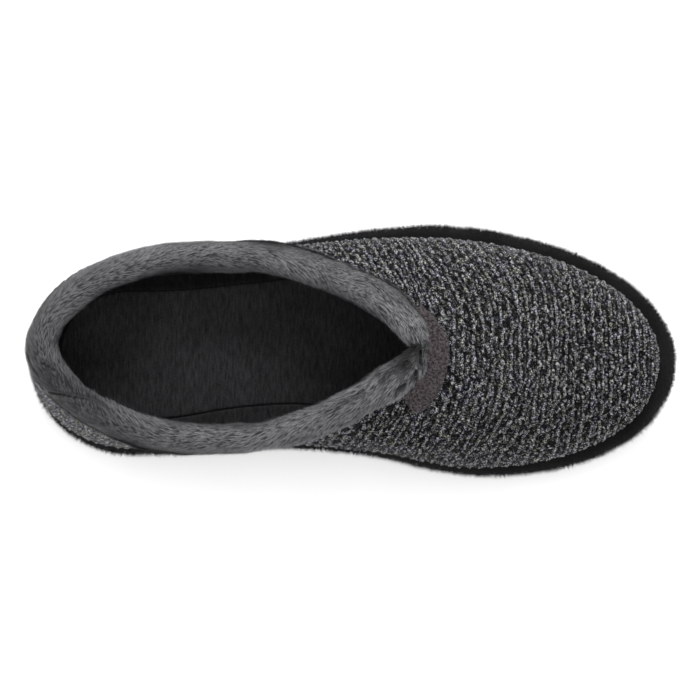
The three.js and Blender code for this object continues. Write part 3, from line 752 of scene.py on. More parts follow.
def knit_relief(u, v):
    """Height from 0 to 1 and tone of the knit at places on the unrolled upper."""
    flat = np.stack([u, v], -1)
    u = leaned(u, v) + wander(flat, WANDER_LENGTHWAYS, 1)
    v = v + wander(flat, WANDER_CROSSWAYS, 2)
    height = np.zeros(u.shape)
    tone = np.full(u.shape, 0.5)
    column = np.floor(u / ROPE_PITCH)
    for rope in (column - 1, column, column + 1):
        rib = np.floor(rope / ROPES_IN_RIB)
        beside = rope - ROPES_IN_RIB * rib
        wave = 0.5 + 0.5 * np.cos(2 * np.pi * (v / WAVE_LENGTH + 0.5 * rib))
        start = hashed(np.stack([rope, 0 * rope], -1), 3) * LOOP_PITCH
        row = np.floor((v - start) / LOOP_PITCH)
        for loop in (row - 1, row, row + 1):
            cell = np.stack([rope, loop], -1)
            push_u, push_v, size, shade, turn = (hashed(cell, seed) for seed in (4, 5, 6, 7, 8))
            du = u - (rope + 0.5) * ROPE_PITCH - LOOP_PUSH * (push_u - 0.5)
            dv = v - start - (loop + 0.5) * LOOP_PITCH - LOOP_PUSH_ALONG * (push_v - 0.5)
            slant = LOOP_SLANT * (1 - 2 * beside) + LOOP_TURN * (turn - 0.5)
            across = (du + slant * dv) / LOOP_HALF_WIDTH
            along_loop = (dv - slant * du) / LOOP_HALF_LENGTH
            tall = LOOP_LEAST + LOOP_LEADING * (1 - beside) + LOOP_ON_CREST * wave
            tall = tall + LOOP_BY_SIZE * (size - 0.5)
            lump = tall * np.sqrt(np.maximum(0, 1 - across ** 2 - along_loop ** 2))
            higher = lump > height
            height = np.where(higher, lump, height)
            tone = np.where(higher, shade, tone)
    yarn = soft_noise(flat, YARN_SIZE, 9) - 0.5
    height = height + YARN_HEIGHT * yarn * (0.4 + height)
    rib = u / (ROPES_IN_RIB * ROPE_PITCH)
    gap = 0.5 - 0.5 * np.cos(2 * np.pi * (rib - 0.25))
    trough = 0.5 - 0.5 * np.cos(2 * np.pi * (v / WAVE_LENGTH + 0.5 * np.floor(rib - 0.25)))
    height = height * (1 - HOLE_DEPTH * gap * trough * soft_noise(flat, HOLE_PATCHES, 12))
    return np.clip(height, 0, 1), tone


def vamp_grid(columns, rows):
    """Places over the vamp: columns from the throat to the toe tip, rows from the outer foot over
    the ridge to the inner foot."""
    rib = 1 + np.linspace(0, 1, columns)
    across = np.linspace(0, 2, rows)
    round_at = np.where(across[None] <= 1, rib[:, None], WHOLE_ROUND - rib[:, None])
    up = np.broadcast_to(np.where(across <= 1, across, 2 - across)[None], round_at.shape)
    return round_at, up


def quarter_grid(columns, rows):
    """Places round the heel: columns from the throat's inner side to its outer side."""
    loop = np.linspace(-1, 1, columns)
    round_at = np.broadcast_to((loop % WHOLE_ROUND)[:, None], (columns, rows))
    up = np.broadcast_to(np.linspace(0, 1, rows)[None], (columns, rows))
    return round_at, up


def run_up(steps):
    """Sums of the steps along the last axis, from 0."""
    return np.concatenate([0 * steps[..., :1], np.cumsum(steps, -1)], -1)


def unrolled_vamp(points, normals):
    """Flat coordinates: along the foot from the throat, and across it from the ridge."""
    middle = points.shape[1] // 2
    upright = normals[..., 2] + SIDE_LEAN
    across = unit(np.stack([0 * upright, upright, -normals[..., 1]], -1))
    forward = unit(np.cross(across, normals))
    step = np.diff(points, axis=1)
    flat = []
    for direction in (forward, across):
        gone = run_up(np.sum(step * (direction[:, 1:] + direction[:, :-1]) / 2, -1))
        flat.append(gone - gone[:, middle:middle + 1])
    ridge = run_up(np.linalg.norm(np.diff(points[:, middle], axis=0), axis=-1))
    return flat[0] + ridge[:, None], flat[1]


def lengths_up(points):
    """Length along each column from its first point."""
    return run_up(np.linalg.norm(np.diff(points, axis=1), axis=-1))


def unrolled_quarters(points, outer_foot, inner_foot):
    """Flat coordinates that carry on from those of the vamp at its two feet."""
    columns, rows = points.shape[:2]
    gone = run_up(np.linalg.norm(np.diff(points[:, rows // 2], axis=0), axis=-1))[:, None]
    outer = (np.arange(columns) >= columns // 2)[:, None]
    back = np.where(outer, gone[-1] - gone, gone)
    up = lengths_up(points)
    across = np.where(outer, outer_foot - up, inner_foot + up)
    return np.broadcast_to(-back, up.shape), across


def wall(name, grid, heights, inner, material, attributes=None, inner_step=1, seam=False):
    """A closed sheet over a grid of places: its face at the given heights above the surface, its
    back at one height. With a seam, the last column is folded on itself and closed."""
    points, normals = grid
    columns, rows = points.shape[:2]
    face = points + normals * heights[..., None]
    kept = np.unique(np.append(np.arange(0, rows, inner_step), rows - 1))
    back = (points + normals * inner)[:, kept]
    count = columns * rows
    all_points = np.concatenate([face.reshape(-1, 3), back.reshape(-1, 3)])
    number = np.arange(count).reshape(columns, rows)
    behind = count + np.arange(columns * len(kept)).reshape(columns, len(kept))
    if seam:
        number[-1] = np.minimum(number[-1], number[-1][::-1])
        behind[-1] = np.minimum(behind[-1], behind[-1][::-1])

    def quads(ids):
        return np.stack([ids[:-1, :-1], ids[:-1, 1:], ids[1:, 1:], ids[1:, :-1]], -1).reshape(-1, 4)

    def rim(edge, back_edge):
        return np.stack([edge[1:], edge[:-1], back_edge[:-1], back_edge[1:]], -1)

    faces = [
        quads(number), quads(behind)[:, ::-1],
        rim(number[:, -1], behind[:, -1])[:, ::-1], rim(number[:, 0], behind[:, 0]),
        np.concatenate([number[0], behind[0][::-1]])[None, ::-1],
    ]
    if not seam:
        faces.append(np.concatenate([number[-1], behind[-1][::-1]])[None])
    filled = {}
    for key, values in (attributes or {}).items():
        filled[key] = np.concatenate([np.ravel(values), np.zeros(behind.size)])
    return mesh_object(name, all_points, faces_out(all_points, faces), material, filled)


# Grids of the knit and of the lining, and how much coarser the back of the knit is
VAMP_GRID = (300, 301)
QUARTER_GRID = (641, 101)
VAMP_LINING_GRID = (60, 61)
QUARTER_LINING_GRID = (161, 25)
VAMP_BACK_STEP = 30
QUARTER_BACK_STEP = 20
LINING_OUT = -1.8
# Round the heel the knit is fuller and flatter, and its lifted tone is painted light against the shade
# there
FULL_MOST = 0.65
FULL_FROM = 30
FULL_TO = 110


def knit_heights(points, flat, from_foot):
    """Relief, tone and height of the knit, which stands out above its foot and is fuller and
    flatter round the heel, where its tone is lifted as painted light against the shade there."""
    relief, tone = knit_relief(*flat)
    full = FULL_MOST * np.clip((FULL_TO - points[..., 0]) / (FULL_TO - FULL_FROM), 0, 1)
    relief = mix(relief, 0.5 + 0.5 * relief, full)
    tuck = FOOT_TUCK * (1 - full) * np.exp(-from_foot / FOOT_TUCK_HEIGHT)
    bulge = FOOT_BULGE * np.exp(-(from_foot / FOOT_BULGE_HEIGHT) ** 2)
    return relief, mix(tone, 1, full), KNIT_RELIEF * relief - KNIT_SUNK + bulge - tuck


def make_knit(name, grid, flat, from_foot, knit, back_step, seam=False):
    relief, tone, heights = knit_heights(grid[0], flat, from_foot)
    attributes = {"relief": relief, "tone": tone}
    piece = wall(name, grid, heights, -KNIT_WALL, knit, attributes, back_step, seam)
    finish_piece(piece, "knit", "upper")


def surface_grid(places):
    return skin(*places), skin_normal(*places)


def make_upper(knit, lining):
    points, normals = surface_grid(vamp_grid(*VAMP_GRID))
    flat = unrolled_vamp(points, normals)
    up = lengths_up(points)
    from_foot = np.minimum(up, up[:, -1:] - up)
    outer_foot, inner_foot = flat[1][0, 0], flat[1][0, -1]
    make_knit("knit_vamp", (points, normals), flat, from_foot, knit, VAMP_BACK_STEP, True)

    points, normals = surface_grid(quarter_grid(*QUARTER_GRID))
    flat = unrolled_quarters(points, outer_foot, inner_foot)
    make_knit("knit_quarters", (points, normals), flat, lengths_up(points), knit, QUARTER_BACK_STEP)

    for name, places, seam in (
        ("lining_vamp", vamp_grid(*VAMP_LINING_GRID), True),
        ("lining_quarter", quarter_grid(*QUARTER_LINING_GRID), False),
    ):
        grid = surface_grid(places)
        heights = np.full(grid[0].shape[:2], LINING_OUT)
        finish_piece(wall(name, grid, heights, -WALL, lining, seam=seam), "insole_cloth")


# Collar

COLLAR_STATIONS = 420
COLLAR_FACE_POINTS = 46
# The visible section from the outer hem over the crest to the inner hem: whether a row lies on the
# outer or inner face, its share of the drop, or of the crest where the drop is 0, and of the pile
COLLAR_SECTION = (
    ("outer", 1.0, 0.02), ("outer", 1.01, 0.26), ("outer", 0.93, 0.62), ("outer", 0.74, 0.96),
    ("outer", 0.38, 1.1), ("outer", 0, 0.95), ("outer", -0.72, 0.5), ("crest", -1.0, 0),
    ("inner", -0.72, 0.5), ("inner", 0, 0.95), ("inner", 0.45, 1.1), ("inner", 0.82, 0.85),
    ("inner", 1.02, 0.36), ("inner", 0.98, 0.04),
)


def spline(rows, count):
    """Catmull-Rom curves through rows of points, one curve for each station."""
    rows = np.concatenate([2 * rows[:1] - rows[1:2], rows, 2 * rows[-1:] - rows[-2:-1]])
    place = np.linspace(0, len(rows) - 3 - 1e-9, count)
    index = place.astype(int)
    t = (place - index)[:, None, None]
    a, b, c, d = (rows[index + k] for k in range(4))
    return 0.5 * (2 * b + (c - a) * t + (2 * a - 5 * b + 4 * c - d) * t ** 2
                  + (3 * b - a - 3 * c + d) * t ** 3)


def pinched(points, loops):
    """At the throat the two sides of the collar press against each other without crossing."""
    gap = COLLAR_PINCH / 2
    outer = ((loops > 0.5) & (loops <= 1))[None, :]
    inner = ((loops > 1) & (loops < 1.5))[None, :]
    y = points[..., 1]
    y = np.where(outer, np.maximum(y, SPINE_SHIFT + gap), y)
    y = np.where(inner, np.minimum(y, SPINE_SHIFT - gap), y)
    points[..., 1] = y
    return points


def collar_faces(samples):
    """The collar's visible face and its hidden back, as rows of points along the section."""
    loops = (np.arange(COLLAR_STATIONS) + 0.5) * WHOLE_LOOP / COLLAR_STATIONS
    skirt = Skirt(loops, COLLAR_INNER_DROP, samples)
    drop = collar_drop(loops)
    behind_throat = np.minimum(1, (THROAT_AT - edge_x(loops)) / OPENING_TAPER)
    inner_drop = COLLAR_INNER_DROP * mix(COLLAR_INNER_AT_THROAT, 1, behind_throat)
    sunk = along(FLOW, "sunk", loops)
    rows = []
    for face, share, pile in COLLAR_SECTION:
        length = np.maximum(drop - HEM_SHORT, HEM_LEAST) if face == "outer" else inner_drop
        length = length if share >= 0 else COLLAR_CREST - sunk
        offset = {
            "outer": COLLAR_GAP + pile * (COLLAR_OUTER_PILE - sunk),
            "crest": -WALL / 2,
            "inner": -WALL - COLLAR_GAP - pile * (COLLAR_INNER_PILE - sunk),
        }[face]
        rows.append(skirt.point(share * length + 0 * drop, offset + 0 * drop))
    face = spline(np.array(rows), COLLAR_FACE_POINTS)
    back = []
    for offset, length, shares in (
        (-WALL - COLLAR_GAP, inner_drop, (0.9, 0.5, 0)), (COLLAR_GAP, drop, (0, 0.5, 0.9)),
    ):
        for share in shares:
            distance = share * length + (-COLLAR_GAP if share == 0 else 0)
            back.append(skirt.point(distance + 0 * drop, np.full(len(loops), offset)))
    return loops, pinched(face, loops), pinched(np.array(back), loops)


def facing_out(normals, away):
    """Normals turned over, if need be, so that they face away from the piece."""
    return normals if np.sum(normals * away) > 0 else -normals


def grid_normals(points, wrap_columns):
    """Normals of a grid of points, rows by columns."""
    down = np.gradient(points, axis=0)
    if wrap_columns:
        along_row = np.roll(points, -1, 1) - np.roll(points, 1, 1)
    else:
        along_row = np.gradient(points, axis=1)
    return unit(np.cross(along_row, down)), unit(down), unit(along_row)


# Folds of the plush: the route in plan, how far each goes in, how wide it is to each side, how dark
# it is, as painted shade in the fold, and whether the pile parts along it
FOLD_COLUMNS = ("route", "deep", "wide", "dark", "parts")
FOLDS = (
    (((13, -19.6), (24, -22.4), (34, -24.0), (41, -28)), 1.2, 0.42, 0.8, True),
    (((13, -8.5), (19, -12)), 0.9, 0.4, 0.8, True),
    (((6.4, -4.5), (8.7, -10), (11.5, -14)), 1.1, 0.4, 0.9, True),
    (((172.4, -4), (172.2, -9.5)), 2.0, 0.75, 1, True),
    (((170.6, -12.2), (170, -15)), 2.0, 0.7, 1, True),
    (((166, -17.5), (163, -19.5)), 1.6, 0.6, 1, True),
    (((161.5, -1.7), (170.5, -2.0)), 1.0, 0.5, 1, True),
    (((170.8, -3), (168, -5.5), (166, -10)), 1.6, 4.6, 1, False),
    (((168, -8), (158, -15)), 1.3, 2.2, 0.7, False),
    (((150, -20), (134, -29)), 0.9, 1.2, 0.3, False),
    (((146, 25), (158, 19)), 0.6, 1.8, 0.1, False),
    (((16, -14), (24, -18), (36, -24)), 0.4, 4.0, 0.45, False),
)
# Each fold has a low ridge beside it: how high, and how many widths away
FOLD_RIDGE = 0.35
FOLD_RIDGE_AT = 2


def from_route(points, route):
    """Distance in plan from each point to a route."""
    nearest = np.full(points.shape[:-1], np.inf)
    for start, end in zip(route[:-1], route[1:]):
        start, line = np.array(start, float), np.subtract(end, start)
        share = np.clip(((points[..., :2] - start) @ line) / (line @ line), 0, 1)
        away = np.linalg.norm(points[..., :2] - start - share[..., None] * line, axis=-1)
        nearest = np.minimum(nearest, away)
    return nearest


def folded(points):
    """How deep the folds are at each point, each a soft trough with low ridges beside it, how much painted
    shade they put on the pile, from 0 to 1, and how near the middle of a parting the point lies."""
    depth = np.zeros(points.shape[:-1])
    dark = np.zeros(points.shape[:-1])
    parted = np.zeros(points.shape[:-1])
    for row in FOLDS:
        fold = dict(zip(FOLD_COLUMNS, row))
        away = from_route(points, fold["route"]) / fold["wide"]
        near = np.exp(-away ** 2)
        depth += fold["deep"] * (near - FOLD_RIDGE * np.exp(-(away - FOLD_RIDGE_AT) ** 2))
        dark = np.maximum(dark, near * fold["dark"])
        parted = np.maximum(parted, near * fold["parts"])
    return depth, dark, parted


# Hairs of the pile, one triangle each: shortest and longest, and how steeply they stand
HAIR_COUNT = 300000
HAIR_LENGTHS = (1.8, 3.6)
HAIR_LIFTS = (0.18, 0.42)
HAIR_WIDTH = 0.17
HAIR_ROOT = 0.25
HAIR_SEED = 7
LONG_HAIRS = 0.05
LONG_HAIR = 1.7
# Their tone: at least, more in soft patches, and more from hair to hair
HAIR_TONE = 0.66
HAIR_MOTTLE = 0.3
HAIR_MOTTLE_SIZE = 6.0
HAIR_FLECK = 0.2
# Tufts: how far the hairs are drawn to them in reach and in tone, and how many are dark
HAIRS_IN_TUFT = 5
TUFTS_NEAR = 10
TUFT_STRETCH = 8.0
TUFT_PULL = 0.6
TUFT_TONE = 0.9
DARK_TUFTS = 0.3
DARK_TONE = 0.1
# More dark tufts in the folds, and the pile there darker by a share: painted shade in the folds
DARK_IN_FOLDS = 0.35
FOLD_SHADE = 0.85
# Hairs that would reach a parting are cut at one of these shares of their length, less a little
PARTED_FROM = 0.4
PARTED_SHARES = (1.0, 0.8, 0.6, 0.4, 0.2)
PARTED_BACK = 0.1
# The backing ends this far above the collar's edge, and is at least so long
HEM_SHORT = 1.6
HEM_LEAST = 1.6
# Layers of soft random values, each a height, a size and a seed
COLLAR_LUMPS = ((1.0, 9.0, 21), (0.5, 3.5, 22))
HAIR_SWIRL = ((0.7, 18.0, 31), (0.4, 6.0, 32))
HAIR_RUFFLE = ((2.2, 2.5, 34),)
HAIR_STRAY = 0.08
# The backing of the pile: its tone away from the folds, kept dark as painted shade between the hairs, and
# how much lighter it is at the hem, painted light against the shade under the hem
BASE_TONE = 0.45
BASE_TIP = 0.25
BASE_HEM_PAINTED_LIGHT = 0.25
BASE_HEM_TIP_PAINTED_LIGHT = 0.35
# The pile lies round the collar and leans over to the inside: the angle at places round the opening,
# how light the inside and the outside of the pile are painted there, as painted light and shade for how
# the lamps fall round the collar, and how far below the collar's face the backing of the pile lies
FLOW = {
    "at": (0, 0.3, 0.6, 0.95, 1.05, 1.4, 1.6, 1.75, 1.9, 2),
    "lean": (0, 0.05, 0.1, 0.15, -0.25, -0.1, 0.15, 0.4, 0.2, 0),
    "light": (0.76, 0.92, 1.0, 1.15, 1.0, 1.0, 0.9, 0.62, 0.7, 0.76),
    "painted_light_outside": (0.74, 0.98, 0.98, 1.15, 1.0, 0.84, 0.76, 0.78, 0.76, 0.74),
    "sunk": (0.2, 0.4, 0.6, 1.2, 1.4, 0.9, 0.5, 0.5, 0.3, 0.2),
}
# How far down its inner face the collar starts to lie in the shade, and how dark it gets there
SHADE_FROM = 0.60
SHADE_TO = 0.80
SHADE = 0.6
# From where to where on the section the painted light of the inside takes over
LIGHT_FROM = 0.3
LIGHT_TO = 0.5
# The rim of the outer hem is lighter, painted light against the shade under the hem: by how much,
# over which share of the section, and on how many rows of the backing
HEM_PAINTED_LIGHT = 0.5
HEM_BAND = 0.07
HEM_ROWS = 7


def scatter(points, normals, count, rng, wrap_columns, keep=None):
    """Random places on a grid, spread evenly by area: a function that gives the values there of an
    array over the grid, the places and their normals."""
    rows, columns = points.shape[:2]
    ids = grid_faces(rows, columns, False, wrap_columns)
    flat = points.reshape(-1, 3)
    a, b, c, d = (flat[ids[:, k]] for k in range(4))
    area = np.linalg.norm(np.cross(c - a, d - b), axis=-1)
    if keep is not None:
        area = area * keep.reshape(-1)[ids[:, 0]]
    cell = rng.choice(len(ids), count, p=area / area.sum())
    s, t = rng.random(count)[:, None], rng.random(count)[:, None]

    def at(values):
        values = values.reshape(rows * columns, -1)
        p, q, r, w = (values[ids[cell, k]] for k in range(4))
        return mix(mix(p, q, s), mix(w, r, s), t)

    return at, at(points), unit(at(normals))


def tufted(roots, directions, lengths, tones, rng):
    """Hairs drawn to the tip of their tuft, which is longer than it is wide, with its tone."""
    count = len(roots) // HAIRS_IN_TUFT
    chosen = rng.choice(len(roots), count, replace=False)
    tree = balanced_tree(roots[chosen])
    near = np.array([[found[1] for found in tree.find_n(root, TUFTS_NEAR)] for root in roots])
    gap = roots[chosen][near] - roots[:, None]
    ahead = np.sum(gap * directions[:, None], -1)
    beside = np.sum(gap * gap, -1) - ahead ** 2
    best = np.argmin(beside + (ahead / TUFT_STRETCH) ** 2, 1)
    nearest = chosen[near[np.arange(len(roots)), best]]
    tips = roots + directions * lengths[:, None]
    reach = mix(tips, tips[nearest], TUFT_PULL) - roots
    length = np.linalg.norm(reach, axis=-1)
    return unit(reach), length, np.clip(mix(tones, tones[nearest], TUFT_TONE), 0, 1)


def blades(name, roots, normals, directions, lengths, width, lifts, tones, material):
    """Tapered hairs that lie along their directions, one triangle each."""
    side = unit(np.cross(normals, directions)) * width / 2
    tip = roots + directions * lengths[:, None] + normals * (lengths * lifts)[:, None]
    root = roots - normals * HAIR_ROOT
    points = np.stack([root - side, root + side, tip], 1)
    faces = np.arange(len(roots))[:, None] * 3 + (0, 1, 2)
    # The tip attribute runs from 0.1 at the roots to 1 at the tips; the plush paints shade at the roots
    # from it
    attributes = {"tone": np.repeat(tones, 3), "tip": np.tile((0.1, 0.1, 1.0), len(roots))}
    return mesh_object(name, points.reshape(-1, 3), [faces], material, attributes)


def make_collar(samples, plush):
    loops, face, back = collar_faces(samples)
    face = smoothed(face.transpose(1, 0, 2), 2).transpose(1, 0, 2)
    face = pinched(face, loops)
    normals, down, along_row = grid_normals(face, True)
    over_crest = np.zeros_like(face)
    over_crest[COLLAR_FACE_POINTS // 2, :, 2] = 1
    normals = facing_out(normals, over_crest)
    depth, dark, _ = folded(face)
    face = pinched(face + normals * (lumps(face, COLLAR_LUMPS) - depth)[..., None], loops)
    points = np.concatenate([face, back]).reshape(-1, 3)
    rows = len(face) + len(back)
    faces = grid_faces(rows, COLLAR_STATIONS, True, True)
    hem = np.zeros((rows, 1))
    hem[:HEM_ROWS] = 1
    # The backing is dark as painted shade between the hairs and darker in the folds, with painted light
    # along the hem
    tone = np.concatenate([BASE_TONE * (1 - dark), 0 * back[..., 0]]) + BASE_HEM_PAINTED_LIGHT * hem
    attributes = {"tone": tone, "tip": BASE_TIP + BASE_HEM_TIP_PAINTED_LIGHT * hem + 0 * tone}
    base = mesh_object("collar_base", points, faces_out(points, [faces]), plush, attributes)
    finish_piece(base, "plush", "collar")
    make_collar_hair(loops, face, normals, down, along_row, plush)


def hair_flow(loops_at, down, along_row, roots, ruffled, rng):
    """Directions of the pile at its roots."""
    swirl = lumps(roots, HAIR_SWIRL) + ruffled * lumps(roots, HAIR_RUFFLE)
    angle = along(FLOW, "lean", loops_at) + swirl + HAIR_STRAY * rng.standard_normal(len(roots))
    return unit(np.cos(angle)[:, None] * along_row + np.sin(angle)[:, None] * down)


def cut_at_partings(roots, flow, lengths):
    """Lengths of the hairs, shortened so that none lies across a parting."""
    for share in PARTED_SHARES:
        crosses = folded(roots + flow * (lengths * share)[:, None])[2] > PARTED_FROM
        lengths = np.where(crosses, lengths * (share - PARTED_BACK), lengths)
    return lengths


def make_collar_hair(loops, face, normals, down, along_row, plush):
    rng = np.random.default_rng(HAIR_SEED)
    count = HAIR_COUNT // 2
    loop_grid = np.broadcast_to(loops, face.shape[:2])
    level_grid = np.broadcast_to(np.linspace(0, 1, len(face))[:, None], face.shape[:2])
    for side, name in ((False, "outer"), (True, "inner")):
        half = ((loop_grid > 1) == side) * 1.0
        at, roots, normal = scatter(face, normals, count, rng, True, half)
        station, level = at(loop_grid)[:, 0], at(level_grid)[:, 0]
        _, dark, parted = folded(roots)
        flow = hair_flow(station, at(down), at(along_row), roots, dark, rng)
        lengths = drawn(rng, HAIR_LENGTHS, count)
        lengths = np.where(rng.random(count) < LONG_HAIRS, LONG_HAIR * lengths, lengths)
        tones = HAIR_TONE + HAIR_MOTTLE * soft_noise(roots, HAIR_MOTTLE_SIZE, 33)
        tones = tones + HAIR_FLECK * rng.random(count)
        tones = np.where(rng.random(count) < DARK_TUFTS + DARK_IN_FOLDS * dark, DARK_TONE, tones)
        flow, lengths, tones = tufted(roots, flow, lengths, tones, rng)
        flow = along_surface(flow, normal)
        lengths = cut_at_partings(roots, flow, lengths)
        lifts = drawn(rng, HAIR_LIFTS, count)
        shaded = np.clip((level - SHADE_FROM) / (SHADE_TO - SHADE_FROM), 0, 1)
        inside = np.clip((level - LIGHT_FROM) / (LIGHT_TO - LIGHT_FROM), 0, 1)
        # Painted shade in the folds, along the partings and down the inner face
        tones = tones * (1 - FOLD_SHADE * dark) * (1 - parted) * (1 - SHADE * shaded)
        # Painted light and shade by place round the opening, on the outside and on the inside of the pile
        tones = tones * mix(along(FLOW, "painted_light_outside", station), along(FLOW, "light", station), inside)
        # Painted light along the rim of the outer hem
        tones += HEM_PAINTED_LIGHT * np.exp(-(level / HEM_BAND) ** 2)
        hair = blades("collar_pile_" + name, roots, normal, flow, lengths, HAIR_WIDTH, lifts, tones, plush)
        finish_piece(hair, "plush")


# Patch at the throat

PATCH_ROWS = 26
PATCH_STATIONS = 120
PATCH_HAIRS = 16000
PATCH_NAP = (0.55, 1.32)
PATCH_NAP_LIFTS = (0.2, 0.7)
PATCH_NAP_WIDTH = 0.16
PATCH_NAP_STRAY = 0.9
PATCH_NAP_SEED = 5
# The outer edge is rounded over a width and the ends over a share of the length. Each starts at a
# share of the full height.
PATCH_ROUND = 1.1
PATCH_EDGE = 0.25
PATCH_ENDS = 0.025
PATCH_TIP = 0.5
PATCH_UNDERSIDE = -0.5
# The paler rim: how far out of the collar it lies, and how wide it is
RIM_AT = 0.6
RIM_WIDTH = 0.5


def make_patch(samples, suede, nap_material):
    share = np.linspace(0, 1, PATCH_STATIONS)
    loops = mix(PATCH_OUTER_END, PATCH_INNER_END, share)
    start = collar_drop(loops) - PATCH_TUCK
    width = PATCH_TUCK + PATCH_WIDTH * along(PATCH, "width", share)
    skirt = Skirt(loops, float(np.max(start + width)), samples)
    ends = mix(PATCH_TIP, 1, np.minimum(1, np.minimum(share, 1 - share) / PATCH_ENDS))
    rows, rim = [], []
    for at in np.linspace(0, 1, PATCH_ROWS):
        edge = np.minimum(1, (1 - at) * width / PATCH_ROUND)
        height = mix(PATCH_EDGE, 1, np.sqrt(1 - (1 - edge) ** 2)) * ends
        rows.append(skirt.point(start + width * at, COLLAR_GAP + PATCH_THICKNESS * height))
        rim.append(np.exp(-((at * width - PATCH_TUCK - RIM_AT) / RIM_WIDTH) ** 2))
    for at in (1.0, 0.5, 0.0):
        rows.append(skirt.point(start + width * at, np.full(len(share), PATCH_UNDERSIDE)))
        rim.append(0 * share)
    points = np.array(rows)
    count, stations = points.shape[:2]
    first = np.arange(count) * stations
    flat = points.reshape(-1, 3)
    faces = faces_out(flat, [grid_faces(count, stations, True), first, first[::-1] + stations - 1])
    patch = mesh_object("suede_crescent", flat, faces, suede, {"rim": np.array(rim)})
    finish_piece(patch, "suede", "throat_patch")
    make_patch_nap(points[:PATCH_ROWS], nap_material)


def make_patch_nap(top, material):
    normals, down, _ = grid_normals(top, False)
    normals = facing_out(normals, np.zeros_like(top) + (0, 0, 1.0))
    rng = np.random.default_rng(PATCH_NAP_SEED)
    at, roots, normal = scatter(top, normals, PATCH_HAIRS, rng, False)
    flow = unit(at(down) + PATCH_NAP_STRAY * rng.standard_normal(roots.shape))
    flow = along_surface(flow, normal)
    lengths = drawn(rng, PATCH_NAP, PATCH_HAIRS)
    tones = rng.random(PATCH_HAIRS)
    lifts = mix(*PATCH_NAP_LIFTS, tones)
    nap = blades("crescent_nap", roots, normal, flow, lengths, PATCH_NAP_WIDTH, lifts, tones, material)
    finish_piece(nap, "suede")


# Sole pieces

SOLE_SIDE = 170


def sole_ring(inset, height):
    """A closed ring at a given inset: the inner side to the toe, then the outer side back."""
    share = np.arange(SOLE_SIDE) / SOLE_SIDE
    share = np.concatenate([share, 1 - share])
    side = np.repeat([INNER, OUTER], SOLE_SIDE)
    inset = inset(sole_x(share), side) if callable(inset) else np.full(len(share), float(inset))
    x, y = sole_point(share, side, inset)
    return np.stack([x, y, height(x)], -1)


def sole_solid(name, rings, material, across=3, shades=None):
    """A layer of the sole from its rings, closed below and above by a grid across the foot. Shades
    give each point of the rings its light, and the rest is lit in full."""
    levels, count = len(rings), 2 * SOLE_SIDE
    station = np.arange(1, SOLE_SIDE)
    points = [np.array(rings).reshape(-1, 3)]
    faces = [grid_faces(levels, count, False, True)]
    first = levels * count
    for level, turned in ((0, False), (levels - 1, True)):
        ring = np.asarray(rings[level])
        share = np.linspace(0, 1, across + 1)[1:-1, None, None]
        points.append(mix(ring[station], ring[count - station], share).reshape(-1, 3))
        between = first + np.arange((across - 1) * len(station)).reshape(across - 1, -1)
        rows = np.concatenate([[level * count + station], between, [level * count + count - station]])
        first += between.size
        quads = np.stack([rows[1:, :-1], rows[1:, 1:], rows[:-1, 1:], rows[:-1, :-1]], -1).reshape(-1, 4)
        heel = np.append(rows[::-1, 0], level * count)[None]
        toe = np.append(rows[:, -1], level * count + SOLE_SIDE)[None]
        faces += [face[:, ::-1] if turned else face for face in (quads, heel, toe)]
    points = np.concatenate(points)
    lit = np.ones(len(points))
    if shades is not None:
        lit[:levels * count] = np.ravel(shades)
    return mesh_object(name, points, faces_out(points, faces), material, {"lit": lit})


PLATFORM_LEVELS = 22
PLATFORM_TOP_INSETS = (4.0, 5.0, 6.5, 9.5, 13.0)
PLATFORM_LUMPS = ((0.5, 8.0, 41),)
PLATFORM_HAIRS = 50000
PLATFORM_NAP = (1.2, 2.5)
PLATFORM_NAP_LIFTS = (0.4, 1.4)
PLATFORM_NAP_WIDTH = 0.22
PLATFORM_NAP_SWIRL = ((1.0, 6.0, 42),)
PLATFORM_NAP_UP = 0.4
PLATFORM_NAP_STRAY = 0.5
PLATFORM_NAP_MOTTLE = 2.0
PLATFORM_NAP_SEED = 11
# How far the cover lies inside the platform's edge, at shares of the sole's length
PLATFORM_SUNK = {
    "at": (0, 0.05, 0.12, 0.22, 0.6, 0.8, 0.92, 1),
    "outer": (1.9, 1.9, 1.7, 1.0, 0.6, 0.5, 0.5, 1.3),
    "inner": (1.9, 1.5, 0.8, 0.5, 0.6, -0.2, -0.1, 1.3),
}


def make_platform(cloth, fuzz):
    def bottom(x):
        return OUTSOLE_THICKNESS + SOLE_GAP + toe_spring(x)

    def drawn_in(up):
        def inset(x, side):
            sunk = by_side(side, lambda name: along(PLATFORM_SUNK, name, x / SOLE_LENGTH))
            return sunk + PLATFORM_EDGE_ROUND * float(along(PLATFORM_SIDE, "inset", up))
        return inset

    rings = []
    for up in np.linspace(0, 1, PLATFORM_LEVELS):
        rings.append(sole_ring(drawn_in(up), lambda x, up=up: bottom(x) + PLATFORM_THICKNESS * up))
    for inset in PLATFORM_TOP_INSETS:
        rings.append(sole_ring(inset, lambda x: bottom(x) + PLATFORM_THICKNESS))
    rings = np.array(rings)
    normals, down, along_row = (grid[:PLATFORM_LEVELS] for grid in grid_normals(rings, True))
    side = rings[:PLATFORM_LEVELS]
    normals = facing_out(normals, side - side.mean((0, 1)))
    side += normals * lumps(side, PLATFORM_LUMPS)[..., None]
    finish_piece(sole_solid("platform_cover", rings, cloth), "sidewall_cloth", "platform")
    make_platform_nap(side, normals, down, along_row, fuzz)


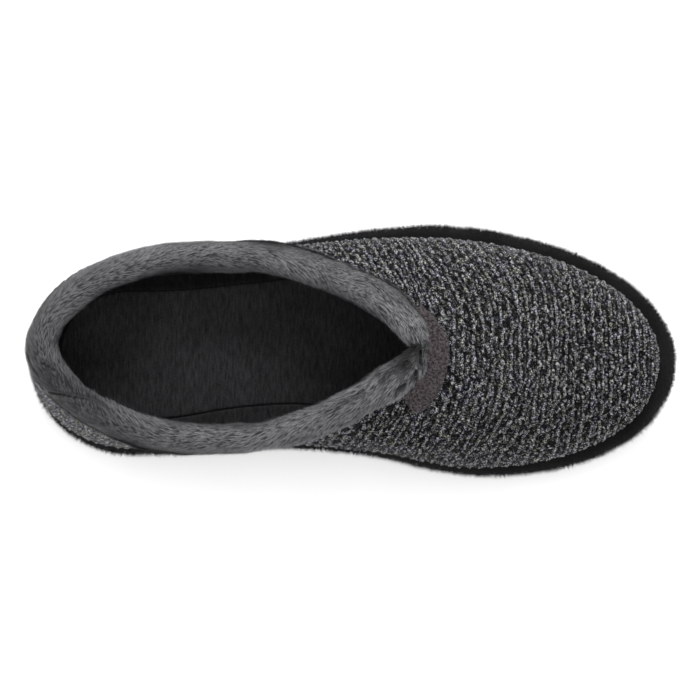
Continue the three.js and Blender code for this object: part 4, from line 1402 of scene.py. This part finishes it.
def make_platform_nap(side, normals, down, along_row, fuzz):
    rng = np.random.default_rng(PLATFORM_NAP_SEED)
    at, roots, normal = scatter(side, normals, PLATFORM_HAIRS, rng, True)
    swirl = lumps(roots, PLATFORM_NAP_SWIRL)[:, None]
    flow = unit(at(along_row) * swirl - PLATFORM_NAP_UP * at(down))
    flow = unit(flow + PLATFORM_NAP_STRAY * rng.standard_normal(flow.shape))
    flow = along_surface(flow, normal)
    lengths = drawn(rng, PLATFORM_NAP, PLATFORM_HAIRS)
    lifts = drawn(rng, PLATFORM_NAP_LIFTS, PLATFORM_HAIRS)
    tones = (soft_noise(roots, PLATFORM_NAP_MOTTLE, 43) + rng.random(PLATFORM_HAIRS)) / 2
    nap = blades("platform_nap", roots, normal, flow, lengths, PLATFORM_NAP_WIDTH, lifts, tones, fuzz)
    finish_piece(nap, "sidewall_cloth")


# How far the seam of the insole's top cover lies in from its edge, at shares of the sole's length
INSOLE_SEAM = {
    "at": (0, 0.13, 0.20, 0.34, 0.44, 0.60, 1),
    "outer": (9, 10, 10, 9, 9, 7, 5),
    "inner": (9, 9, 8, 12, 13, 9, 5),
}
# Rows from the lower edge to the middle: a distance in from the wall up to the seam, as a share of
# the way to the seam, past it in millimetres, and the height
INSOLE_ROWS = (
    (0, 0, 0), (0, 0, 2.2), (0.04, 0, 3.1), (0.12, 0, 3.75), (0.4, 0, 4.05), (0.8, 0, 4.15),
    (1, -0.9, 4.3), (1, -0.4, 4.15), (1, 0, 3.1), (1, 0.4, 4.25), (1, 0.9, 4.5), (1, 2.0, 4.55),
    (1, 4.0, 4.6), (1, 7.0, 4.6),
)
# How light the insole is between its seam and the wall
RIM_LIGHT = {"outer": 0.35, "inner": 0.8}
INSOLE_ACROSS = 8


def make_insole(fleece):
    def ring(share, past, up):
        def inset(x, side):
            seam = by_side(side, lambda name: along(INSOLE_SEAM, name, x / SOLE_LENGTH))
            return feather_inset(x, side) + WALL + INSOLE_GAP + share * seam + past
        return sole_ring(inset, lambda x: UPPER_BASE + toe_spring(x) + up)

    rim = by_side(np.repeat([INNER, OUTER], SOLE_SIDE), RIM_LIGHT.get)
    shades = [rim if past < 0 or share < 1 else np.ones(len(rim)) for share, past, _ in INSOLE_ROWS]
    rings = [ring(*row) for row in INSOLE_ROWS]
    insole = sole_solid("insole_pad", rings, fleece, INSOLE_ACROSS, shades)
    finish_piece(insole, "insole_cloth", "insole")


def dress_outsole(rubber):
    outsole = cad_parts["outsole"]
    outsole.data.materials.clear()
    outsole.data.materials.append(rubber)


# Stage, light and camera

VIEW_DISTANCE = 1200
VIEW_ELEVATION = 85
VIEW_TARGET = (142.8, 3.3, 0)
PHOTO_SIDE = 700
FOCAL_PIXELS = 2677
SENSOR = 36
VIEW_REACH = 20
FLOOR_SIZE = 8
WORLD_LIGHT = 1.25
LIGHTS = (
    {"name": "key", "place": (0.1, 1.6, 1.2), "size": 1.2, "power": 60},
    {"name": "front", "place": (0.2, -1.4, 1.3), "size": 1.4, "power": 13},
)


def make_camera():
    data = bpy.data.cameras.new("camera")
    data.sensor_width = SENSOR
    data.lens = FOCAL_PIXELS / PHOTO_SIDE * SENSOR
    data.clip_end = VIEW_REACH
    camera = bpy.data.objects.new("camera", data)
    bpy.context.scene.collection.objects.link(camera)
    elevation = math.radians(VIEW_ELEVATION)
    back = Vector((0, -math.cos(elevation), math.sin(elevation)))
    target = Vector(in_metres(VIEW_TARGET)[0])
    camera.location = target + back * VIEW_DISTANCE * MM
    camera.rotation_euler = (-back).to_track_quat("-Z", "Y").to_euler()
    bpy.context.scene.camera = camera


def make_light(name, place, size, power):
    data = bpy.data.lights.new(name, "AREA")
    data.energy = power
    data.size = size
    lamp = bpy.data.objects.new(name, data)
    lamp.location = place
    lamp.rotation_euler = (-Vector(place)).to_track_quat("-Z", "Y").to_euler()
    bpy.context.scene.collection.objects.link(lamp)


def make_stage():
    bpy.ops.mesh.primitive_plane_add(size=FLOOR_SIZE)
    floor = bpy.context.object
    floor.name = "floor"
    floor.data.materials.append(floor_material())
    world = bpy.data.worlds.new("studio")
    world.use_nodes = True
    sky = world.node_tree.nodes["Background"]
    sky.inputs["Color"].default_value = (1, 1, 1, 1)
    sky.inputs["Strength"].default_value = WORLD_LIGHT
    bpy.context.scene.world = world
    for light in LIGHTS:
        make_light(**light)
    bpy.context.scene.view_settings.view_transform = "Standard"


make_camera()
make_stage()
surface = surface_samples()
make_upper(knit_material(), cloth_material("dark_lining", 0.008, 0.016, 0.8))
plush = plush_material()
make_collar(surface, plush)
make_patch(surface, suede_material("suede", 1.0), suede_material("suede_nap", 1.5))
side_cloth = cloth_material("sidewall_cloth", 0.004, 0.010, 0.7)
make_platform(side_cloth, cloth_material("sidewall_nap", 0.007, 0.020, 0.6))
make_insole(insole_material())
dress_outsole(rubber_material())
